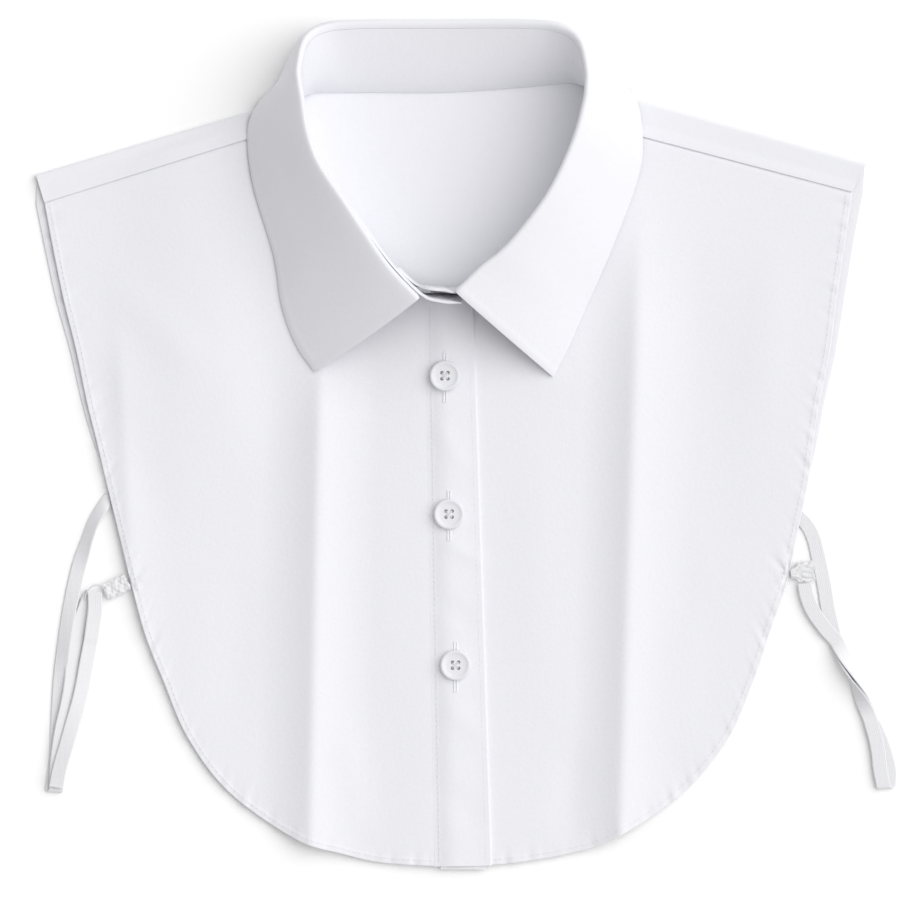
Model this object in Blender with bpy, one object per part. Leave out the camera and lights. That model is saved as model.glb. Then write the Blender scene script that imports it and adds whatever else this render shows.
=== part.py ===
"""A detachable shirt collar, or dickey, of white cotton. It lies flat on its back, with the collar standing up.

X runs to the right of the garment as it is seen from above, Y up it towards the collar, and Z up from the surface
that it lies on. The tables are in millimetres, from the middle of the garment, and MM turns them into metres.
Left and right are those of the viewer.
"""

import math

import bpy
import numpy as np

MM = 0.001
SHARP_ANGLE = math.radians(40)

# Cloth, in mm. A level is the height of the middle of a wall.
CLOTH = 1.2
LEAF_WALL = 1.0
STAND_WALL = 1.3
GAP = 0.3
BACK_LEVEL = CLOTH / 2
FRONT_LEVEL = 2.4
PLACKET_RISE = CLOTH + GAP
FOLD_BEND = (FRONT_LEVEL - BACK_LEVEL) / 2
LEAF_CLEARANCE = CLOTH + 0.6

# The shoulders. The back wraps over the fold and comes forward to the seam with the front.
# Columns: fold_neck, fold_arm, seam_neck, seam_arm
SHOULDERS = {
    "left": ((-65.8, 144.1), (-172.9, 112.5), (-64.8, 133.7), (-169.4, 101.0)),
    "right": ((61.0, 148.5), (172.9, 117.1), (60.2, 133.6), (167.2, 105.4)),
}

# The edge of a front, from the outer end of its shoulder seam down the armhole and round the hem to the placket.
# beyond is how far the back's edge lies outside the front's, and below zero it is hidden inside.
# Columns: x, y, beyond
EDGES = {
    "left": (
        (-169.4, 101.0, 3.4),
        (-166.2, 84.0, 3.2),
        (-161.5, 61.0, 2.9),
        (-156.2, 39.5, 2.3),
        (-151.7, 17.9, 1.9),
        (-147.5, 1.0, 1.2),
        (-143.3, -16.7, -0.8),
        (-138.3, -37.1, -3.0),
        (-133.4, -57.0, -3.0),
        (-127.5, -78.8, -3.0),
        (-120.0, -97.9, -3.0),
        (-109.6, -122.1, -3.0),
        (-92.1, -145.0, -3.0),
        (-64.6, -164.2, -3.0),
        (-45.0, -170.4, -3.0),
        (-28.8, -174.0, -3.0),
        (-4.6, -175.6, -3.0),
    ),
    "right": (
        (167.2, 105.4, 4.3),
        (164.2, 84.2, 3.3),
        (160.9, 62.0, 3.0),
        (157.8, 38.0, 2.2),
        (153.6, 18.0, 1.9),
        (151.0, 1.0, 1.4),
        (148.6, -16.7, -0.6),
        (144.6, -35.5, -3.0),
        (140.0, -57.0, -3.0),
        (132.6, -78.8, -3.0),
        (126.1, -98.0, -3.0),
        (115.3, -122.5, -3.0),
        (96.4, -145.0, -3.0),
        (67.9, -164.2, -3.0),
        (48.3, -170.4, -3.0),
        (28.8, -173.8, -3.0),
        (14.2, -175.2, -3.0),
    ),
}
ARMHOLE_ROWS = 9

# The folds of the front. Each rises gently from the left and falls quickly on its right.
# Columns: top, bottom, height, rise, fall, fade
FOLDS = (
    ((-53.6, 66.0), (-58.8, -176.0), 4.4, 25.0, 8.0, 60.0),
    ((79.6, 112.0), (70.0, -176.0), 4.0, 23.0, 8.0, 70.0),
    ((-122.0, 52.0), (-121.0, -110.0), 1.6, 14.0, 9.0, 50.0),
)
NECK_LIFT = 2.5
NECK_LIFT_REACH = 32.0
NECK_LIFT_TOP = (84.0, 120.0)

# The placket, from its top at the stand to its bottom at the hem
PLACKET_LEFT = ((-10.8, 60.2), (-6.8, -175.6))
PLACKET_RIGHT = ((9.2, 60.2), (16.9, -175.2))
PLACKET_TUCK = 2.2
UNDER_TOP = 65.6
UNDER_PEEK = 1.6
# The rows across the placket lie closer over this share of it, below the neck
PLACKET_ROWS = 26
PLACKET_SPLIT = 0.36
PLACKET_STEPS = 3

# The collar, from the left end of the leaf round the back to the right end. Each row is a section: where the stand
# stands (seam), its top edge (top), where the leaf turns on its way down (knee) and the leaf's free edge (edge).
COLLAR_COLUMNS = ("seam_x", "seam_y", "top_x", "top_y", "top_z", "knee_x", "knee_y", "knee_z", "edge_x", "edge_y")
COLLAR = (
    (-14.0, 60.2, -11.9, 63.2, 31.0, -33.2, 45.6, 21.5, -56.7, 30.4),
    (-27.5, 73.2, -24.7, 75.4, 32.0, -43.5, 60.5, 21.5, -64.4, 41.6),
    (-38.6, 86.4, -35.1, 89.6, 32.5, -51.5, 76.0, 21.5, -70.4, 58.0),
    (-48.0, 98.6, -43.8, 101.7, 33.0, -58.0, 91.5, 22.0, -73.6, 78.5),
    (-60.2, 115.2, -54.8, 117.6, 33.5, -67.5, 112.5, 22.0, -81.8, 106.0),
    (-64.8, 127.0, -59.4, 130.9, 33.4, -71.5, 129.0, 22.0, -84.6, 125.0),
    (-66.3, 137.5, -61.4, 143.9, 33.0, -72.5, 141.2, 22.0, -83.2, 136.8),
    (-65.8, 142.0, -62.4, 150.0, 31.8, -72.5, 149.4, 17.0, -75.8, 146.3),
    (-63.5, 144.5, -62.6, 156.0, 29.5, -72.4, 152.4, 3.0, -62.0, 151.5),
    (-57.5, 146.8, -59.6, 166.8, 23.0, -65.0, 166.5, 0.6, -52.5, 153.0),
    (-48.0, 147.2, -52.3, 171.6, 17.5, -53.8, 175.4, 0.6, -46.5, 151.2),
    (-36.0, 147.3, -38.0, 173.2, 15.5, -38.2, 176.6, 0.6, -36.5, 149.9),
    (-3.0, 147.3, -3.0, 173.4, 15.2, -3.0, 176.8, 0.6, -3.0, 149.8),
    (28.0, 149.3, 32.0, 173.3, 18.5, 32.2, 176.6, 0.6, 30.0, 152.6),
    (41.5, 150.6, 45.3, 171.4, 22.0, 47.8, 175.2, 0.6, 41.5, 154.5),
    (50.5, 151.2, 52.6, 166.2, 26.8, 59.5, 166.5, 1.0, 51.5, 155.5),
    (57.5, 149.0, 55.6, 156.0, 30.5, 71.0, 152.6, 8.0, 69.0, 153.6),
    (60.3, 146.5, 55.9, 149.0, 32.3, 70.5, 148.2, 18.0, 74.3, 147.0),
    (61.5, 140.0, 54.9, 141.5, 33.0, 67.5, 141.0, 22.0, 78.6, 138.6),
    (56.2, 121.5, 50.3, 125.6, 33.5, 64.5, 121.5, 22.0, 79.0, 116.0),
    (44.2, 100.2, 39.8, 103.8, 33.0, 53.5, 94.5, 22.0, 67.6, 83.5),
    (26.9, 80.3, 23.8, 83.3, 32.0, 39.5, 71.5, 22.0, 56.4, 58.0),
    (14.6, 71.2, 12.2, 73.6, 31.5, 30.0, 58.5, 21.5, 48.9, 41.0),
    (3.0, 62.1, 1.8, 63.6, 31.0, 21.0, 46.6, 21.0, 42.5, 28.3),
)
FRONT_SECTIONS_LEFT = slice(0, 6)
BACK_SECTIONS = slice(8, 17)
FRONT_SECTIONS_RIGHT = slice(19, 24)
ON_PLACKET = 0
ON_BACK = slice(9, 16)
# The stand runs on past the leaf at both ends. The left end lies outside the right one, which follows it inside.
# Columns: seam_x, seam_y, top_x, top_y, top_z
OUTER_END = ((4.8, 57.9, 4.4, 59.3, 30.0), (-4.8, 58.4, -4.6, 60.2, 30.6))
UNDER_END = (
    (-2.6, 62.6, -2.8, 64.0, 30.8),
    (-9.6, 63.2, -9.4, 65.0, 30.6),
    (-15.6, 65.0, -14.8, 68.6, 31.0),
    (-22.6, 71.8, -21.4, 74.9, 31.3),
)
ROLL_OUT = 2.4
ROLL_UP = 2.2
STAND_TILT = 0.5
SEAM_INSET = 1.1
# Shares of the way up the stand, along X, Y and Z, which give it its hollow back
STAND_LOW = (0.1, 0.1, 0.22)
STAND_HIGH = (0.6, 0.6, 0.7)
STAND_SAMPLES = 6
LEAF_TURN = 0.4
LEAF_DROP = 2.5
SECTIONS_BETWEEN = 2

# The buttons, with four holes and a raised rim
BUTTONS = {"button_top": (-2.5, 28.8), "button_middle": (-0.8, -28.8), "button_bottom": (1.9, -91.7)}
# Columns: radius, height
BUTTON_PROFILE = ((6.35, 1.1), (6.35, 1.9), (5.9, 2.5), (5.0, 2.5), (4.3, 1.8), (0.0, 1.8))
BUTTON_FOOT = ((0.0, 0.0), (5.2, 0.0))
BUTTON_SIDES = 24
BUTTON_HOLE = 0.75
BUTTON_HOLE_OFFSET = 1.25
BUTTON_HOLE_SIDES = 8
BUTTON_SEAT = CLOTH / 2 + GAP

# The elastic arm loops: the middle of the tape, and how its width lies, in degrees from X and up from flat. Each
# stretch ends in a fold where the tape turns back over itself, and the next one starts there.
# Columns: x, y, z, across, tilt
TAPE_WIDTH = 6.0
TAPE = 1.0
TAPE_LOWEST = 0.04
LEFT_TAPE = (
    (
        (-142.2, -22.0, 0.5, -76.0, 0.0),
        (-145.2, -26.0, 0.5, -58.0, 0.0),
        (-149.0, -32.5, 0.5, -33.0, 0.0),
        (-152.1, -41.3, 0.5, -20.0, 0.0),
        (-155.4, -52.1, 0.5, -15.0, 0.0),
        (-158.8, -67.9, 0.5, -11.0, 0.0),
        (-161.5, -85.4, 0.5, -8.0, 0.0),
        (-162.9, -100.0, 0.5, -5.0, 0.0),
        (-163.8, -116.3, 0.5, -3.0, 0.0),
        (-164.4, -130.0, 0.5, -4.0, 0.0),
        (-166.2, -143.6, 0.5, -6.0, 0.0),
    ),
    (
        (-164.4, -143.6, 2.1, -8.0, 0.0),
        (-164.2, -135.4, 2.1, -8.0, 0.0),
        (-163.4, -127.0, 2.1, -11.0, -3.0),
        (-161.9, -117.5, 2.0, -13.0, -8.0),
        (-159.8, -108.5, 1.75, -12.0, -14.0),
        (-158.4, -100.0, 1.5, -8.0, -17.0),
        (-157.6, -91.7, 1.45, -7.0, -17.0),
        (-156.4, -83.0, 1.45, -10.0, -17.0),
        (-154.8, -75.0, 1.45, -14.0, -15.0),
        (-152.4, -68.0, 1.2, -16.0, -8.0),
        (-150.0, -61.8, 0.7, -10.0, 0.0),
    ),
    (
        (-148.4, -61.8, 2.3, -6.0, 0.0),
        (-148.3, -68.0, 2.3, -6.0, -8.0),
        (-149.2, -75.0, 1.9, -9.0, -15.0),
        (-150.4, -83.0, 1.5, -10.0, -17.0),
        (-151.9, -91.0, 1.5, -10.0, -17.0),
        (-153.4, -99.5, 1.55, -11.0, -17.0),
        (-155.2, -107.5, 2.1, -13.0, -15.0),
        (-157.6, -116.0, 2.7, -16.0, -10.0),
        (-160.4, -126.0, 3.4, -16.0, -5.0),
        (-163.0, -135.0, 3.7, -13.0, -1.0),
        (-164.4, -142.6, 3.7, -9.0, 0.0),
    ),
)
# The two strands of the right loop turn half over together: the middle of the pair and its tilt
# Columns: x, y, across, tilt
RIGHT_TWIST = (
    (160.2, -81.2, 33.0, 0.0),
    (161.6, -84.0, 30.0, -14.0),
    (163.1, -87.5, 27.0, -32.0),
    (164.5, -90.8, 25.0, -50.0),
    (166.0, -94.4, 24.0, -72.0),
    (167.2, -97.3, 24.0, -90.0),
    (168.9, -101.0, 24.0, -114.0),
    (170.9, -105.2, 23.0, -140.0),
    (172.8, -109.4, 21.0, -162.0),
    (174.3, -113.3, 19.0, -180.0),
)
STRAND_APART = 0.7
RIGHT_TAPE_BACK = (
    (145.6, -30.5, 0.5, 76.0, 0.0),
    (148.9, -34.4, 0.5, 52.0, 0.0),
    (151.3, -39.6, 0.5, 30.0, 0.0),
    (152.6, -44.8, 0.5, 18.0, 0.0),
    (153.9, -50.8, 0.5, 14.0, 0.0),
    (155.5, -58.5, 0.5, 13.0, 0.0),
    (157.0, -67.9, 0.5, 14.0, 0.0),
    (158.7, -75.2, 0.5, 22.0, 0.0),
)
RIGHT_TAPE_UPPER = (
    (175.4, -116.8, 2.1, 16.0, -180.0),
    (177.0, -122.4, 2.1, 12.0, -180.0),
    (178.1, -128.4, 2.1, 8.0, -180.0),
    (178.8, -135.0, 2.1, 5.0, -180.0),
    (180.2, -142.2, 2.1, 4.0, -180.0),
)
RIGHT_TAPE_LOWER = (
    (182.4, -142.0, 0.5, 4.0, -180.0),
    (182.6, -136.0, 0.5, 8.0, -180.0),
    (181.0, -129.0, 0.5, 15.0, -180.0),
    (178.8, -122.5, 0.5, 20.0, -180.0),
    (176.2, -116.8, 0.5, 20.0, -180.0),
)
RIGHT_TAPE_FRONT = (
    (156.8, -77.5, 2.1, 35.0, 0.0),
    (153.8, -73.6, 2.1, 36.0, 0.0),
    (151.4, -70.2, 2.1, 29.0, 0.0),
    (149.4, -66.2, 2.1, 20.0, 0.0),
    (148.1, -62.2, 2.1, 12.0, 0.0),
    (147.3, -57.7, 2.1, 5.0, 0.0),
)
TAPE_STEPS = 4
TAPE_FOLD_STEPS = 4
# The gathered tabs at the front's edge, with their width at even steps along them
# Columns: start, end, widths, thickness
TABS = {
    "strap_tab_left": ((-134.6, -56.9), (-144.0, -61.5), (6.2, 6.8, 6.6), 1.6),
    "strap_tab_right": ((141.6, -53.6), (151.2, -52.3), (3.0, 7.4, 8.2, 7.8), 1.6),
}
TAB_LEVEL = 2.2
TAB_STEPS = 6

# How finely the panels are divided
FRONT_SHARES = (0.0, 0.025, 0.05, 0.08, 0.12, 0.17, 0.23, 0.3, 0.38, 0.46, 0.55, 0.64, 0.73, 0.82, 0.91, 1.0)
NECK_STEPS = {"left": 14, "right": 14}
SEAM_STEPS = {"left": 11, "right": 16}
HEM_NECK_SHARE = {"left": 0.52, "right": 0.24}
HEM_CLEAR = 1.0
BACK_ROWS = 8
BACK_SHOULDER_STEPS = 8
BACK_NECK_STEPS = 14
WRAP_STEPS = 4
STRIP_STEPS = 2
CURVE_STEPS = 8
LEAF_SAMPLES = 13
ROLL_SAMPLES = 4

COTTON = ("cotton", (0.86, 0.86, 0.89, 1.0), 0.85)
PLASTIC = ("button", (0.88, 0.88, 0.88, 1.0), 0.35)
ELASTIC = ("elastic", (0.84, 0.84, 0.86, 1.0), 0.8)


def clear_scene():
    for thing in list(bpy.data.objects):
        bpy.data.objects.remove(thing, do_unlink=True)


def material(look):
    name, colour, roughness = look
    made = bpy.data.materials.get(name) or bpy.data.materials.new(name)
    made.use_nodes = True
    shader = made.node_tree.nodes["Principled BSDF"]
    shader.inputs["Base Color"].default_value = colour
    shader.inputs["Roughness"].default_value = roughness
    shader.inputs["Metallic"].default_value = 0.0
    return made


def ease(share):
    """0 below 0, 1 above 1, and a smooth step between."""
    held = np.clip(share, 0.0, 1.0)
    return held * held * (3.0 - 2.0 * held)


def curve_through(points, steps=CURVE_STEPS):
    """A smooth curve through the points, with that many steps between each two."""
    rows = np.asarray(points, float)
    padded = np.vstack([2 * rows[0] - rows[1], rows, 2 * rows[-1] - rows[-2]])
    along = np.linspace(0.0, 1.0, steps, endpoint=False)[:, None]
    stretches = [
        0.5
        * (
            2 * b
            + (c - a) * along
            + (2 * a - 5 * b + 4 * c - d) * along**2
            + (3 * b - a - 3 * c + d) * along**3
        )
        for a, b, c, d in zip(padded[:-3], padded[1:-2], padded[2:-1], padded[3:])
    ]
    return np.vstack([*stretches, rows[-1:]])


def at_shares(line, shares):
    """The points at these shares of a line's length."""
    lengths = np.concatenate([[0.0], np.cumsum(np.linalg.norm(np.diff(line, axis=0), axis=1))])
    wanted = np.asarray(shares) * lengths[-1]
    return np.stack([np.interp(wanted, lengths, line[:, k]) for k in range(line.shape[1])], axis=1)


def even(steps):
    return np.linspace(0.0, 1.0, steps + 1)


def between(start, end, shares):
    start, end = np.asarray(start, float), np.asarray(end, float)
    return start + np.asarray(shares)[:, None] * (end - start)


def patch(top, bottom, left, right, across, down):
    """The grid that fills four edges. top and bottom run along the shares across, left and right along down."""
    u, v = across[None, :, None], down[:, None, None]
    rows = (1 - v) * top[None] + v * bottom[None]
    columns = (1 - u) * left[:, None] + u * right[:, None]
    corners = (1 - v) * ((1 - u) * top[0] + u * top[-1]) + v * ((1 - u) * bottom[0] + u * bottom[-1])
    return rows + columns - corners


def grid_faces(rows, columns):
    """The faces of a grid whose points are counted row by row, facing up where rows run down and columns right."""
    return [
        (i * columns + j, (i + 1) * columns + j, (i + 1) * columns + j + 1, i * columns + j + 1)
        for i in range(rows - 1)
        for j in range(columns - 1)
    ]


def thickened(points, faces, wall):
    """A closed wall: the surface moved out by half its thickness each way, and joined along its free edges."""
    points = np.asarray(points, float)
    normals = np.zeros_like(points)
    for face in faces:
        corners = points[list(face)]
        area = sum(np.cross(corners[k] - corners[0], corners[k + 1] - corners[0]) for k in range(1, len(face) - 1))
        normals[list(face)] += area
    normals /= np.linalg.norm(normals, axis=1)[:, None]
    count = len(points)
    directed = {(a, b) for face in faces for a, b in zip(face, (*face[1:], face[0]))}
    free = sorted(edge for edge in directed if edge[::-1] not in directed)
    walls = [tuple(face) for face in faces]
    walls += [tuple(i + count for i in reversed(face)) for face in faces]
    walls += [(b, a, a + count, b + count) for a, b in free]
    return np.vstack([points + normals * wall / 2, points - normals * wall / 2]), walls


def solid(name, points, faces, look):
    """A named object from points in mm."""
    mesh = bpy.data.meshes.new(name)
    mesh.from_pydata((np.asarray(points) * MM).tolist(), [], faces)
    mesh.validate()
    mesh.shade_smooth()
    mesh.set_sharp_from_angle(angle=SHARP_ANGLE)
    mesh.materials.append(material(look))
    made = bpy.data.objects.new(name, mesh)
    bpy.context.scene.collection.objects.link(made)
    return made


def cloth(name, grid, wall=CLOTH, look=COTTON):
    rows, columns = grid.shape[:2]
    return solid(name, *thickened(grid.reshape(-1, 3), grid_faces(rows, columns), wall), look)


def column(name):
    """One column of the collar's table, or two or three of them as points."""
    picked = [k for k, title in enumerate(COLLAR_COLUMNS) if title.startswith(name)]
    return np.array(COLLAR, float)[:, picked]


def outward(rail):
    """The level direction out of the neck, at each section of the collar."""
    along = np.gradient(rail[:, :2], axis=0)
    out = np.stack([-along[:, 1], along[:, 0]], axis=1)
    return out / np.linalg.norm(out, axis=1)[:, None]


def neck_line(sections, inset):
    """The neck edge of a panel along these sections: the stand's seam, moved into the neck by inset."""
    seam = column("seam")
    return (seam - outward(seam) * inset)[sections]


def distance_to(line, points):
    """How far each point is from a line of points."""
    best = np.full(points.shape[:-1], np.inf)
    for a, b in zip(line[:-1], line[1:]):
        run = b - a
        share = np.clip(((points - a) @ run) / (run @ run), 0.0, 1.0)
        best = np.minimum(best, np.linalg.norm(points - a - share[..., None] * run, axis=-1))
    return best


def front_neck():
    seam = column("seam")
    return np.vstack([seam[FRONT_SECTIONS_LEFT][::-1], seam[FRONT_SECTIONS_RIGHT][::-1]])


def fold_height(points):
    """How far the long folds lift the front at these points."""
    total = np.zeros(points.shape[:-1])
    for top, bottom, height, rise, fall, fade in FOLDS:
        down = (top[1] - points[..., 1]) / (top[1] - bottom[1])
        aside = points[..., 0] - (top[0] + down * (bottom[0] - top[0]))
        across = np.where(aside < 0, ease(1 + aside / rise), ease(1 - aside / fall))
        total += height * across * ease((top[1] - points[..., 1]) / fade)
    return total


def front_height(points):
    """The height of the middle of the front's cloth at these level points."""
    near = np.exp(-((distance_to(front_neck(), points) / NECK_LIFT_REACH) ** 2))
    low, high = NECK_LIFT_TOP
    lift = NECK_LIFT * near * ease((high - points[..., 1]) / (high - low))
    return FRONT_LEVEL + lift + fold_height(points)


def raised(level_grid, rise=0.0):
    """A level grid laid on the front's surface."""
    return np.concatenate([level_grid, (front_height(level_grid) + rise)[..., None]], axis=-1)


def back_edge(side):
    """The back's edge: the front's, moved out or in by the column beyond."""
    table = np.array(EDGES[side])
    line = curve_through(table)
    along = np.gradient(line[:, :2], axis=0)
    sign = -1.0 if side == "left" else 1.0
    out = sign * np.stack([-along[:, 1], along[:, 0]], axis=1)
    out /= np.linalg.norm(out, axis=1)[:, None]
    return line[:, :2] + out * line[:, 2:]


def back_panel():
    """The back, with the strips that wrap forward over the shoulders."""
    fold_inset = FOLD_BEND + CLOTH / 2
    shares = even(BACK_SHOULDER_STEPS)
    tops, wraps = {}, {}
    for side, (fold_neck, fold_arm, seam_neck, seam_arm) in SHOULDERS.items():
        fold, seam = between(fold_neck, fold_arm, shares), between(seam_neck, seam_arm, shares)
        forward = (seam - fold) / np.linalg.norm(seam - fold, axis=1)[:, None]
        centre = fold + forward * fold_inset
        tops[side] = centre
        rows = []
        for angle in np.radians(np.linspace(-90.0, 90.0, WRAP_STEPS + 1))[1:]:
            level = centre - forward * FOLD_BEND * math.cos(angle)
            height = BACK_LEVEL + FOLD_BEND * (1 + math.sin(angle))
            rows.append(np.column_stack([level, np.full(len(level), height)]))
        for share in even(STRIP_STEPS)[1:]:
            level = centre + share * (seam - centre)
            rows.append(np.column_stack([level, np.full(len(level), FRONT_LEVEL)]))
        wraps[side] = np.array(rows)

    seam = neck_line(BACK_SECTIONS, -SEAM_INSET)[1:-1]
    neck_curve = curve_through(np.vstack([tops["left"][:1], seam, tops["right"][:1]]))
    neck = at_shares(neck_curve, even(BACK_NECK_STEPS))
    top = np.vstack([tops["left"][::-1], neck[1:-1], tops["right"]])
    columns = len(top)
    across = np.concatenate([[0.0], np.cumsum(np.linalg.norm(np.diff(top, axis=0), axis=1))])
    across /= across[-1]
    down = even(BACK_ROWS)
    rails, hems = {}, {}
    corner = (ARMHOLE_ROWS - 1) * CURVE_STEPS
    for side in SHOULDERS:
        edge = back_edge(side)
        rails[side] = at_shares(np.vstack([tops[side][-1:], edge[: corner + 1]]), down)
        hems[side] = edge[corner:]
    bottom = at_shares(np.vstack([hems["left"], hems["right"][::-1]]), across)
    level = patch(top, bottom, rails["left"], rails["right"], across, down)
    main = np.concatenate([level, np.full((*level.shape[:2], 1), BACK_LEVEL)], axis=-1)

    points, faces = list(main.reshape(-1, 3)), grid_faces(len(down), columns)
    joined = {
        "left": list(range(BACK_SHOULDER_STEPS, -1, -1)),
        "right": list(range(columns - BACK_SHOULDER_STEPS - 1, columns)),
    }
    for side, wrap in wraps.items():
        before = joined[side]
        for row in wrap:
            here = list(range(len(points), len(points) + len(row)))
            points += list(row)
            for k in range(len(row) - 1):
                face = (before[k], before[k + 1], here[k + 1], here[k])
                faces.append(face if side == "right" else face[::-1])
            before = here
    solid("back_panel", *thickened(points, faces, CLOTH), COTTON)


def front(name, side, centre_top, centre_bottom):
    """One front, from its line under the placket to its armhole."""
    sections = FRONT_SECTIONS_LEFT if side == "left" else FRONT_SECTIONS_RIGHT
    _, _, seam_neck, seam_arm = SHOULDERS[side]
    neck = neck_line(sections, SEAM_INSET)
    neck = neck[1:] if side == "left" else neck[::-1][1:]
    forward = np.array([0.0, -GAP])
    neck_shares, seam_shares = even(NECK_STEPS[side]), even(SEAM_STEPS[side])
    neck_points = np.vstack([centre_top, neck, np.array(seam_neck) + forward])
    neck_curve = at_shares(curve_through(neck_points), neck_shares)
    seam_line = between(np.array(seam_neck) + forward, np.array(seam_arm) + forward, seam_shares)
    top = np.vstack([neck_curve, seam_line[1:]])
    split = HEM_NECK_SHARE[side]
    across = np.concatenate([neck_shares * split, split + seam_shares[1:] * (1 - split)])
    down = np.array(FRONT_SHARES)
    corner = (ARMHOLE_ROWS - 1) * CURVE_STEPS
    edge = curve_through(np.array(EDGES[side])[:, :2])
    edge[0] = np.array(seam_arm) + forward
    armhole = at_shares(edge[: corner + 1], down)
    hem = edge[corner:][::-1]
    hem = hem[np.abs(hem[:, 0]) > abs(centre_bottom[0]) + HEM_CLEAR]
    bottom = at_shares(np.vstack([centre_bottom, hem]), across)
    middle = between(centre_top, centre_bottom, down)
    level = patch(top, bottom, middle, armhole, across, down)
    if side == "left":
        level = level[:, ::-1]
    cloth(name, raised(level))


def line_at(line, y):
    (x_top, y_top), (x_bottom, y_bottom) = line
    return x_top + (x_bottom - x_top) * (y_top - y) / (y_top - y_bottom)


def band(name, left, right, top, bottoms, rise):
    """A straight band down the front, between two lines."""
    close, wide = even(PLACKET_ROWS // 2), even(PLACKET_ROWS // 2)[1:]
    shares = np.concatenate([close * PLACKET_SPLIT, PLACKET_SPLIT + wide * (1 - PLACKET_SPLIT)])
    rows = []
    for share in shares:
        ends = []
        for line, bottom in zip((left, right), bottoms):
            y = top + share * (bottom - top)
            ends.append((line_at(line, y), y))
        rows.append(between(*ends, even(PLACKET_STEPS)))
    cloth(name, raised(np.array(rows), rise))


def shifted(line, by):
    return tuple((x + by, y) for x, y in line)


def fronts_and_placket():
    left_tuck, right_tuck = shifted(PLACKET_LEFT, PLACKET_TUCK), shifted(PLACKET_RIGHT, -PLACKET_TUCK)
    hem = PLACKET_LEFT[1][1]
    left_top = neck_line(FRONT_SECTIONS_LEFT, SEAM_INSET)[0]
    centre_left = ((line_at(left_tuck, left_top[1]), left_top[1]), (line_at(left_tuck, hem), hem))
    right_top = UNDER_TOP + SEAM_INSET
    centre_right = ((line_at(right_tuck, right_top), right_top), (line_at(right_tuck, hem), hem))
    front("front_left", "left", *centre_left)
    front("front_right", "right", *centre_right)
    under = (shifted(left_tuck, GAP), shifted(right_tuck, -GAP))
    band("under_placket", *under, UNDER_TOP, (hem - UNDER_PEEK, hem - UNDER_PEEK), 0.0)
    band("placket", PLACKET_LEFT, PLACKET_RIGHT, PLACKET_LEFT[0][1], (hem, PLACKET_RIGHT[1][1]), PLACKET_RISE)


def past_shoulder(points):
    """How far each level point lies beyond the shoulders' folds or, between them, beyond the back's neck seam."""
    seam = column("seam")[BACK_SECTIONS]
    past = points[..., 1] - np.interp(points[..., 0], seam[:, 0], seam[:, 1]) + CLOTH
    for side, (fold_neck, fold_arm, _, _) in SHOULDERS.items():
        start, end = np.array(fold_neck), np.array(fold_arm)
        along = (end - start) / np.linalg.norm(end - start)
        sign = 1.0 if side == "right" else -1.0
        beyond = (points - start) @ (sign * np.array([-along[1], along[0]]))
        own = points[..., 0] < seam[0, 0] if side == "left" else points[..., 0] > seam[-1, 0]
        past = np.where(own, beyond, past)
    return past


def support(points):
    """The lowest height of the leaf's middle over these points: clear of the front, or on the floor past it."""
    over_front = front_height(points) + LEAF_CLEARANCE
    drop = ease((past_shoulder(points) - CLOTH) / LEAF_DROP)
    return over_front + drop * (LEAF_WALL / 2 - over_front)


def clamped_curve(controls, samples):
    """Points on a quadratic curve from the first control to the last, which cuts the corners between."""
    knots = len(controls) - 2
    made = []
    for share in np.linspace(0.0, knots, samples):
        k = min(int(share), knots - 1)
        t = share - k
        a = controls[0] if k == 0 else (controls[k] + controls[k + 1]) / 2
        c = controls[-1] if k == knots - 1 else (controls[k + 1] + controls[k + 2]) / 2
        made.append((1 - t) ** 2 * a + 2 * t * (1 - t) * controls[k + 1] + t**2 * c)
    return made


def feet(seam):
    """Where the stand's wall starts: just above the front along a level line."""
    return np.column_stack([seam, front_height(seam) + CLOTH / 2 + GAP + STAND_TILT])


def collar_feet():
    """Where the stand's wall starts at each section of the collar."""
    made = feet(column("seam"))
    made[ON_PLACKET, 2] += PLACKET_RISE
    made[ON_BACK, 2] = CLOTH + GAP + STAND_TILT
    return made


def collar_stand():
    outer, under = np.array(OUTER_END), np.array(UNDER_END)
    outer_feet = feet(outer[:, :2])
    outer_feet[:, 2] += PLACKET_RISE
    foot = np.vstack([outer_feet, collar_feet(), feet(under[:, :2])])
    top = np.vstack([outer[:, 2:], column("top"), under[:, 2:]])
    low = foot + (top - foot) * STAND_LOW
    high = foot + (top - foot) * STAND_HIGH
    rails = [curve_through(rail, SECTIONS_BETWEEN) for rail in (foot, low, high, top)]
    grid = np.array([clamped_curve(controls, STAND_SAMPLES) for controls in np.stack(rails, axis=1)])
    cloth("collar_stand", grid, STAND_WALL)


def collar_leaf():
    top, knee, edge = column("top"), column("knee"), column("edge")
    out = np.column_stack([outward(top), np.zeros(len(top))])
    up = top - collar_feet()
    up /= np.linalg.norm(up, axis=1)[:, None]
    aside = out - up * (out * up).sum(axis=1)[:, None]
    aside /= np.linalg.norm(aside, axis=1)[:, None]
    start = top + up * (GAP + STAND_TILT)
    rise = top + up * (ROLL_UP + GAP)
    roll = rise + aside * ROLL_OUT
    edges = np.column_stack([edge, support(edge)])
    turn = knee + LEAF_TURN * (edges - knee)
    rails = [curve_through(rail, SECTIONS_BETWEEN) for rail in (start, rise, roll, knee, turn, edges)]
    grid = np.array([clamped_curve(controls, LEAF_SAMPLES) for controls in np.stack(rails, axis=1)])
    fall = grid[:, ROLL_SAMPLES:]
    fall[..., 2] = np.maximum(fall[..., 2], support(fall[..., :2]))
    cloth("collar_leaf", grid, LEAF_WALL)


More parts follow.
